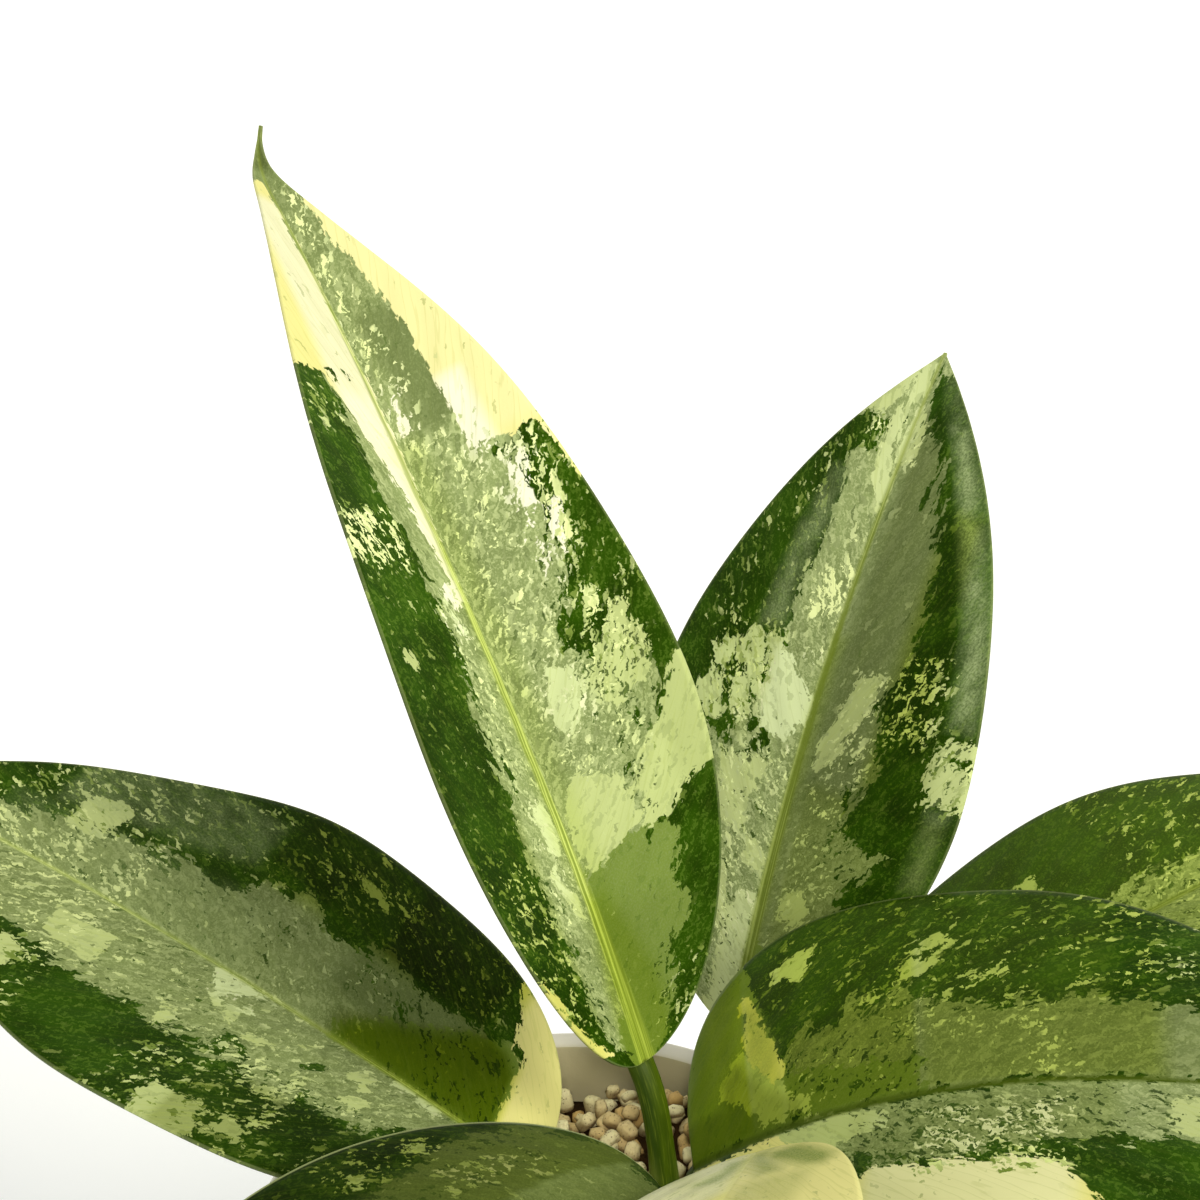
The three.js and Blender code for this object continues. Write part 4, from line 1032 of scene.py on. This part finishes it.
# %% Stalk material
leaf_stalk, g, shader = new_material("leaf_stalk", 0.42, Specular_IOR_Level=0.1)
round_and_along = g.add("ShaderNodeUVMap", uv_map="stalk").outputs["UV"]
fibre = g.noise(g.stretch(round_and_along, (2.6, 0.12, 1)), 1.0, 3.0, 0.6)
tone = g.noise(g.stretch(round_and_along, (0.25, 0.04, 1), (9, 0, 0)), 1.0, 2.0)
base = g.blend(g.ramp(tone, 0.35, 0.65), srgb(34, 51, 0), srgb(58, 75, 4))
base = g.blend(g.math("MULTIPLY", g.ramp(fibre, 0.5, 0.75), 0.35), base, srgb(120, 134, 44))
g.give(shader.inputs["Base Color"], g.blend(g.attribute("wing"), base, srgb(176, 186, 100)))
g.bump(shader, fibre, 0.3, 0.0002)
print("stalk material:", leaf_stalk.name)

# %% Path of a stalk
STALK_STEPS = 40
STALK_RISE = 76
STALK_DEPTH = 0.88
SHEATH_SHARE = 0.55
SHEATH_TAPER = 1.3
CLASPING_SHEATH = (1.5, 0.6)
TOPMOST_SHEATH = (0.5, 1.3)
FLAT_TOP = 0.7
BELOW_BLADE = 0.05
SINKS_FROM = 0.7
KEEL_STEPS = 34
KEEL_START = 0.02
KEEL_END = 0.93
KEEL_TAPER = 0.45
KEEL_WIDTH = (0.98, 0.14)
KEEL_DEPTH = (0.86, 0.12)


def heading(azimuth, pitch):
    azimuth, pitch = math.radians(azimuth), math.radians(pitch)
    return np.array([math.cos(pitch) * math.cos(azimuth), math.cos(pitch) * math.sin(azimuth),
                     math.sin(pitch)])


def unit(v):
    return v / np.linalg.norm(v)


def on_curve(foot, foot_handle, end_handle, end, u):
    """Place and direction at a share of the way along a cubic curve with a handle at each end."""
    v = 1 - u
    place = v ** 3 * foot + 3 * v * v * u * foot_handle + 3 * v * u * u * end_handle + u ** 3 * end
    return place, unit(v * v * (foot_handle - foot) + 2 * v * u * (end_handle - foot_handle)
                       + u * u * (end - end_handle))


def free_stalk(leaf, rows):
    """Stations from the stem to the blade: place, right, normal, half width, half depth, wrap, sheath."""
    azimuth, height, out = leaf["node"]
    outward = heading(azimuth, 0)
    blade_base, blade_normal = rows[0][0], rows[3][0]
    foot = np.array([STEM_X, STEM_Y, height]) + outward * out
    foot_handle = foot + heading(azimuth, STALK_RISE) * leaf["handles"][0]
    blade_handle = blade_base - heading(*leaf["meets"]) * leaf["handles"][1]
    half = leaf["stalk"] / 2
    clasps = out > 0
    spread, sheath_depth = CLASPING_SHEATH if clasps else TOPMOST_SHEATH
    path = []
    for i in range(STALK_STEPS + 1):
        u = i / STALK_STEPS
        place, along = on_curve(foot, foot_handle, blade_handle, blade_base, u)
        normal = -outward * (1 - u) + blade_normal * u
        normal = unit(normal - along * normal.dot(along))
        sheath = max(0, 1 - u / SHEATH_SHARE) ** SHEATH_TAPER
        wide = half * (1 + spread * sheath)
        deep = half * lerp((STALK_DEPTH, sheath_depth), sheath)
        wrap = sheath / (STEM_RADIUS + 1) if clasps else 0
        sunk = (FLAT_TOP * deep + BELOW_BLADE) * max(0, (u - SINKS_FROM) / (1 - SINKS_FROM)) ** 2
        path.append((place - normal * sunk, np.cross(along, normal), normal, wide, deep, wrap, sheath))
    return path


def keel(leaf, rows):
    """The same stations on under the blade, where the stalk runs out as its keel."""
    half = leaf["stalk"] / 2
    path = []
    for s in np.linspace(KEEL_START, KEEL_END, KEEL_STEPS):
        place, along, right, normal = (row[0] for row in along_midrib(rows, np.array([s])))
        run = (s / KEEL_END) ** KEEL_TAPER
        deep = half * lerp(KEEL_DEPTH, run)
        path.append((place - normal * (FLAT_TOP * deep + BELOW_BLADE), right, normal,
                     half * lerp(KEEL_WIDTH, run), deep, 0, 0))
    return path


print(STALK_STEPS + 1 + KEEL_STEPS, "stations along a stalk and its keel")

# %% Stalks
STALK_SIDES = 24
STALK_UV_HALF = 8
MERGE = 1e-6


def make_stalk(name):
    """A grid rolled up round the path, wrapped round the stem at its sheath and closed at its ends."""
    leaf = LEAVES[name]
    rows = midrib(leaf)
    path = free_stalk(leaf, rows) + keel(leaf, rows)
    last = len(path) - 1
    bm = bmesh.new()
    bmesh.ops.create_grid(bm, x_segments=STALK_SIDES, y_segments=last, size=1)
    uv = bm.loops.layers.uv.new("stalk")
    wing = bm.verts.layers.float.new("wing")
    run = np.cumsum([0] + [np.linalg.norm(b[0] - a[0]) for a, b in zip(path, path[1:])])
    for face in bm.faces:
        for loop in face.loops:
            step = round((loop.vert.co.y + 1) / 2 * last)
            loop[uv].uv = ((loop.vert.co.x + 1) * STALK_UV_HALF, run[step])
    for vert in bm.verts:
        turn = math.pi * (vert.co.x + 1)
        step = round((vert.co.y + 1) / 2 * last)
        place, right, normal, wide, deep, wrap, sheath = path[step]
        across = math.sin(turn) * wide
        depth = -math.cos(turn) * deep * (FLAT_TOP if math.cos(turn) < 0 else 1)
        vert[wing] = sheath * min(1, abs(math.sin(turn)) ** 4)
        if wrap > 0:
            ring = 1 / wrap - depth
            depth = 1 / wrap - ring * math.cos(across * wrap)
            across = ring * math.sin(across * wrap)
        vert.co = Vector(place + right * across + normal * depth) * MM
    bmesh.ops.remove_doubles(bm, verts=bm.verts, dist=MERGE)
    ends = [e for e in bm.edges if e.is_boundary]
    bmesh.ops.holes_fill(bm, edges=ends, sides=0)
    bmesh.ops.recalc_face_normals(bm, faces=bm.faces)
    return finish_piece(name.replace("leaf", "stalk"), bm, [leaf_stalk], "leaf", name)


for name in LEAVES:
    made = make_stalk(name)
    print(made.name, len(made.data.polygons), "faces")

# %% [markdown]
# ## Stem
# The stem is a short cane that the leaves grow from. It is nearly hidden by the sheaths. On the
# real plant it has a pale ring where each old leaf fell. It is turned: a profile spun round an
# axis gives both the rings and the rounded top.


# %% Spin a profile
def spun(profile, sides, x=0, y=0):
    """A closed shape of revolution in metres from (radius, height) pairs in mm."""
    bm = bmesh.new()
    verts = [bm.verts.new((r * MM, 0, z * MM)) for r, z in profile]
    edges = [bm.edges.new(pair) for pair in zip(verts, verts[1:])]
    bmesh.ops.spin(bm, geom=verts + edges, angle=math.tau, steps=sides, axis=(0, 0, 1),
                   cent=(0, 0, 0), use_merge=True)
    bmesh.ops.remove_doubles(bm, verts=bm.verts, dist=MERGE)
    bmesh.ops.recalc_face_normals(bm, faces=bm.faces)
    bmesh.ops.translate(bm, verts=bm.verts, vec=(x * MM, y * MM, 0))
    return bm


print("a profile is spun through", round(math.degrees(math.tau)), "degrees")

# %% Stem piece
stem_skin, g, shader = new_material("stem_skin", 0.5)
spot = g.add("ShaderNodeTexCoord").outputs["Object"]
band = g.noise(g.stretch(spot, (60, 60, 420)), 1.0, 3.0, 0.6)
g.give(shader.inputs["Base Color"], g.blend(g.ramp(band, 0.42, 0.62), srgb(78, 92, 26),
                                            srgb(138, 140, 72)))
g.bump(shader, band, 0.35, 0.0004)
STEM_FOOT = 72.0
STEM_TOP = 114.0
STEM_SIDES = 48
SCAR_HEIGHTS = (88, 95, 101, 106, 108.5, 111)
SCAR_PROFILE = ((4.12, -0.7), (4.35, -0.35), (STEM_RADIUS, 0), (4.3, 0.3), (4.1, 0.6))
profile = [(0, STEM_FOOT), (3.4, STEM_FOOT), (4.1, STEM_FOOT + 1.5)]
profile += [(radius, height + rise) for height in SCAR_HEIGHTS for radius, rise in SCAR_PROFILE]
profile += [(3.9, STEM_TOP - 1.4), (3.3, STEM_TOP - 0.5), (2.2, STEM_TOP - 0.1), (0, STEM_TOP)]
cane = spun(profile, STEM_SIDES, STEM_X, STEM_Y)
stem = finish_piece("stem_cane", cane, [stem_skin], "stem", "stem")
print("stem has", len(stem.data.polygons), "faces")

# %% [markdown]
# ## Pumice
# The plant stands in coarse pumice: cream and tan grains of four to six millimetres with dark gaps.
# Hundreds of loose grains are needed, so a few small blocks have their edges bevelled and their
# corners pushed about, and are copied, each with a turn and a size of its own. They lie in two
# layers round a spiral, which spreads them evenly. A bed painted dark brown closes the gaps between
# them, as painted shade between the grains.

# %% Pumice materials
pumice_grain, g, shader = new_material("pumice_grain", 0.95, Specular_IOR_Level=0.2)
spot = g.add("ShaderNodeTexCoord").outputs["Object"]
grit = g.noise(spot, 1400, 4.0, 0.7)
pits = g.add("ShaderNodeTexVoronoi", {"Vector": spot, "Scale": 1500}).outputs["Distance"]
tint = g.blend(g.attribute("tone"), srgb(255, 247, 202), srgb(212, 176, 112))
tint = g.blend(g.math("MULTIPLY", g.ramp(grit, 0.5, 0.7), 0.35), tint, srgb(176, 144, 92))
# Pits are painted darker: painted shade in the pores.
tint = g.blend(g.ramp(pits, 0.25, 0.05), tint, srgb(150, 120, 84))
facing = g.add("ShaderNodeNewGeometry").outputs["Normal"]
facing_up = g.add("ShaderNodeSeparateXYZ", {0: facing}).outputs["Z"]
shadowed = g.blend(g.ramp(facing_up, 0.75, -0.1, 0, 0.8), tint, srgb(112, 86, 48))
g.give(shader.inputs["Base Color"], shadowed)
rough = g.math("SUBTRACT", grit, g.math("MULTIPLY", g.ramp(pits, 0.3, 0.0), 0.6))
g.bump(shader, rough, 0.9, 0.0005)

pumice_bed, g, shader = new_material("pumice_bed", 1.0, Specular_IOR_Level=0.1)
spot = g.add("ShaderNodeTexCoord").outputs["Object"]
grit = g.noise(spot, 500, 4.0, 0.7)
# Dark brown: painted shade in the gaps between the grains.
g.give(shader.inputs["Base Color"], g.blend(grit, srgb(32, 21, 7), srgb(74, 52, 26)))
g.bump(shader, grit, 1.0, 0.001)
print("pumice materials:", pumice_grain.name, pumice_bed.name)

# %% Bed under the grains
POT_HEIGHT = 114.3
POT_RIM_RADIUS = 58
POT_BASE_RADIUS = 42
POT_WALL = 3.6
POT_FLOOR = 5
LIP_PROUD = 1.6
LIP_HEIGHT = 9
BED_TOP = 104
BED_LEVEL = BED_TOP - 1.4
BED_FOOT = POT_FLOOR + 0.3
BED_CLEAR = 0.6
BED_SIDES = 96
HEAP_X = 24
HEAP_Y = 33
HEAP_RADIUS = 24
HEAP_HEIGHT = 6.5


def wall_radius(z):
    """Outer radius of the pot's wall below its lip."""
    return POT_BASE_RADIUS + (POT_RIM_RADIUS - LIP_PROUD - POT_BASE_RADIUS) * z / POT_HEIGHT


def bed_radius(z):
    return wall_radius(z) - POT_WALL - BED_CLEAR


def heap_height(x, y):
    """How far the pumice is heaped above its level top."""
    share = math.hypot(x - HEAP_X, y - HEAP_Y) / HEAP_RADIUS
    return HEAP_HEIGHT * math.sqrt(1 - share ** 2) if share < 1 else 0


profile = [(0, BED_FOOT), (bed_radius(BED_FOOT) - 1.2, BED_FOOT),
           (bed_radius(BED_FOOT + 1.2), BED_FOOT + 1.2), (bed_radius(BED_TOP - 2), BED_TOP - 2),
           (bed_radius(BED_TOP) - 4, BED_LEVEL)]
profile += [(radius, BED_LEVEL) for radius in range(44, -1, -4)]
bm = spun(profile, BED_SIDES)
for vert in bm.verts:
    if vert.co.z > (BED_LEVEL - 0.2) * MM:
        vert.co.z += heap_height(vert.co.x / MM, vert.co.y / MM) * MM
bed = finish_piece("pumice_bed", bm, [pumice_bed], "pumice", "pumice")
print("bed is", round(2 * bed_radius(BED_TOP)), "mm across at its top")

# %% Shapes of the grains
GRAIN_SHAPES = 7
GRAIN_BLOCK = 1.5
GRAIN_BEVEL = 0.5
GRAIN_PUSH = 0.1
dice = random.Random(11)


def grain_shape():
    """One rough grain about 2 across, with bevelled edges and pushed corners."""
    bm = bmesh.new()
    bmesh.ops.create_cube(bm, size=GRAIN_BLOCK)
    bmesh.ops.bevel(bm, geom=bm.edges[:], offset=GRAIN_BEVEL, offset_type="OFFSET", segments=2,
                    profile=0.5, affect="EDGES", material=-1)
    for vert in bm.verts:
        vert.co += Vector([dice.uniform(-GRAIN_PUSH, GRAIN_PUSH) for _ in range(3)])
    mesh = bpy.data.meshes.new("grain_shape")
    bm.to_mesh(mesh)
    bm.free()
    return mesh


shapes = [grain_shape() for _ in range(GRAIN_SHAPES)]
print(len(shapes), "shapes of", len(shapes[0].polygons), "faces")

# %% Grains
GRAIN_COUNT = 900
GRAIN_LAYERS = ((BED_TOP - 1.2, 0.6), (BED_TOP + 0.8, 0.4))
GRAIN_SIZE = (3.6, 6.2)
GRAIN_WIDTH = (0.65, 0.95)
GRAIN_HEIGHT = (0.55, 0.8)
GRAIN_LIFT = (-0.5, 0.7)
GRAIN_STRAY = 1.2
GOLDEN_TURN = math.pi * (3 - math.sqrt(5))
bm = bmesh.new()
tone_layer = bm.verts.layers.float.new("tone")
placed = 0
for low, share in GRAIN_LAYERS:
    count = round(GRAIN_COUNT * share)
    for i in range(count):
        ring = (bed_radius(BED_TOP) - 2.0) * math.sqrt((i + 0.5) / count)
        x = ring * math.cos(i * GOLDEN_TURN + low) + dice.uniform(-GRAIN_STRAY, GRAIN_STRAY)
        y = ring * math.sin(i * GOLDEN_TURN + low) + dice.uniform(-GRAIN_STRAY, GRAIN_STRAY)
        size = dice.uniform(*GRAIN_SIZE) / 2
        in_stem = math.hypot(x - STEM_X, y - STEM_Y) < STEM_RADIUS + size + 0.5
        if in_stem or math.hypot(x, y) > bed_radius(BED_TOP) - size:
            continue
        before = len(bm.verts)
        bm.from_mesh(dice.choice(shapes))
        bm.verts.ensure_lookup_table()
        new = bm.verts[before:]
        turn = Euler([dice.uniform(0, math.tau) for _ in range(3)]).to_matrix().to_4x4()
        width = size * dice.uniform(*GRAIN_WIDTH)
        height = size * dice.uniform(*GRAIN_HEIGHT)
        lift = low + heap_height(x, y) + dice.uniform(*GRAIN_LIFT)
        matrix = Matrix.Translation((x, y, lift)) @ turn @ Matrix.Diagonal((size, width, height, 1))
        tone = dice.random() ** 1.3
        for vert in new:
            vert[tone_layer] = tone
        bmesh.ops.transform(bm, matrix=Matrix.Scale(MM, 4) @ matrix, verts=new)
        placed += 1
for shape in shapes:
    bpy.data.meshes.remove(shape)
grains = finish_piece("pumice_grains", bm, [pumice_grain], "pumice", "pumice")
print(placed, "grains,", len(grains.data.polygons), "faces")

# %% [markdown]
# ## Pot
# The pot is a plain round planter with a smooth white satin glaze, a proud lip and drain holes in
# its floor. A potter would throw it on a wheel, and here a profile is spun in the same way. Inside,
# where the wall faces the pot's axis, the glaze is painted a darker tan, as painted shade. The
# holes are cut with a boolean, which is applied, so that no cutters stay in the scene.

# %% Pot material
pot_glaze, g, shader = new_material("pot_glaze", 0.3, Coat_Weight=0.25, Coat_Roughness=0.2)
spot = g.add("ShaderNodeTexCoord").outputs["Object"]
cloud = g.noise(spot, 26, 2.0)
dots = g.noise(spot, 900, 2.0, 0.7)
glaze = g.blend(cloud, srgb(226, 222, 212), srgb(212, 207, 196))
outward = g.vector_math("MULTIPLY", spot, (1, 1, 0))
facing = g.add("ShaderNodeNewGeometry").outputs["Normal"]
facing_out = g.vector_math("DOT_PRODUCT", facing, outward, "Value")
# The inner wall is painted a darker tan: painted shade.
dusty = g.blend(g.ramp(facing_out, -0.01, -0.035, 0, 0.8), glaze, srgb(186, 176, 136))
g.give(shader.inputs["Base Color"], dusty)
g.give(shader.inputs["Roughness"], g.ramp(cloud, 0, 1, 0.2, 0.46, False))
g.bump(shader, g.math("ADD", dots, cloud), 0.12, 0.0005)
print("pot material:", pot_glaze.name)

# %% Pot profile
POT_SIDES = 128
FOOT_RING = 30
FOOT_RECESS = 1.2
WALL_HEIGHTS = (30, 60, 90)
lip_foot = POT_HEIGHT - LIP_HEIGHT
rim_inner = wall_radius(POT_HEIGHT) - POT_WALL
floor_edge = wall_radius(POT_FLOOR) - POT_WALL
profile = [(0, FOOT_RECESS), (FOOT_RING, FOOT_RECESS), (FOOT_RING + 1.2, 0.2), (FOOT_RING + 2, 0)]
profile += [(POT_BASE_RADIUS - 1.6, 0), (POT_BASE_RADIUS - 0.5, 0.35), (POT_BASE_RADIUS, 1.3)]
profile += [(wall_radius(z), z) for z in (*WALL_HEIGHTS, lip_foot - 2.4)]
profile += [(wall_radius(lip_foot) + 0.1, lip_foot - 1.5), (POT_RIM_RADIUS - 0.5, lip_foot - 0.5),
            (POT_RIM_RADIUS, lip_foot + 0.5), (POT_RIM_RADIUS, POT_HEIGHT - 1.3)]
profile += [(POT_RIM_RADIUS - 0.35, POT_HEIGHT - 0.45), (POT_RIM_RADIUS - 1.2, POT_HEIGHT),
            (rim_inner + 1.2, POT_HEIGHT), (rim_inner + 0.35, POT_HEIGHT - 0.4),
            (rim_inner, POT_HEIGHT - 1.3)]
profile += [(wall_radius(z) - POT_WALL, z) for z in (*reversed(WALL_HEIGHTS), POT_FLOOR + 3)]
profile += [(floor_edge - 0.6, POT_FLOOR + 0.8), (floor_edge - 2.2, POT_FLOOR), (0, POT_FLOOR)]
pot = finish_piece("pot_body", spun(profile, POT_SIDES), [pot_glaze], "pot", "pot")
print("pot is", 2 * POT_RIM_RADIUS, "mm across and", POT_HEIGHT, "mm high")

# %% Drain holes
DRAIN_HOLES = 3
DRAIN_RADIUS = 4.5
DRAIN_CIRCLE = 20
DRAIN_DEPTH = 12
DRAIN_MIDDLE = 3
SHARP_EDGE = 40
bm = bmesh.new()
for i in range(DRAIN_HOLES):
    turn = math.tau * i / DRAIN_HOLES
    hole = Matrix.Translation((DRAIN_CIRCLE * MM * math.cos(turn), DRAIN_CIRCLE * MM * math.sin(turn),
                               DRAIN_MIDDLE * MM))
    bmesh.ops.create_cone(bm, cap_ends=True, segments=32, radius1=DRAIN_RADIUS * MM,
                          radius2=DRAIN_RADIUS * MM, depth=DRAIN_DEPTH * MM, matrix=hole)
cutter_mesh = bpy.data.meshes.new("cutter")
bm.to_mesh(cutter_mesh)
bm.free()
cutter = bpy.data.objects.new("cutter", cutter_mesh)
scene.collection.objects.link(cutter)
cut = pot.modifiers.new("drain", "BOOLEAN")
cut.object = cutter
cut.operation = "DIFFERENCE"
cut.solver = "EXACT"
drained = bpy.data.meshes.new_from_object(pot.evaluated_get(bpy.context.evaluated_depsgraph_get()))
pot.modifiers.clear()
plain = pot.data
pot.data = drained
drained.name = "pot_body"
bpy.data.meshes.remove(plain)
bpy.data.objects.remove(cutter)
bpy.data.meshes.remove(cutter_mesh)
drained.shade_smooth()
drained.set_sharp_from_angle(angle=math.radians(SHARP_EDGE))
print("pot has", len(pot.data.polygons), "faces")

# %% [markdown]
# ## Measure and finish
# Blender must not change the object's size, so the box of the solids and the box of the dressed
# plant are written side by side for comparison.

# %% Sizes
dressed_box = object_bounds()
print("solids span", [round((b - a) * 1000, 1) for a, b in zip(*cad_box)], "mm")
print("plant spans", [round((b - a) * 1000, 1) for a, b in zip(*dressed_box)], "mm")
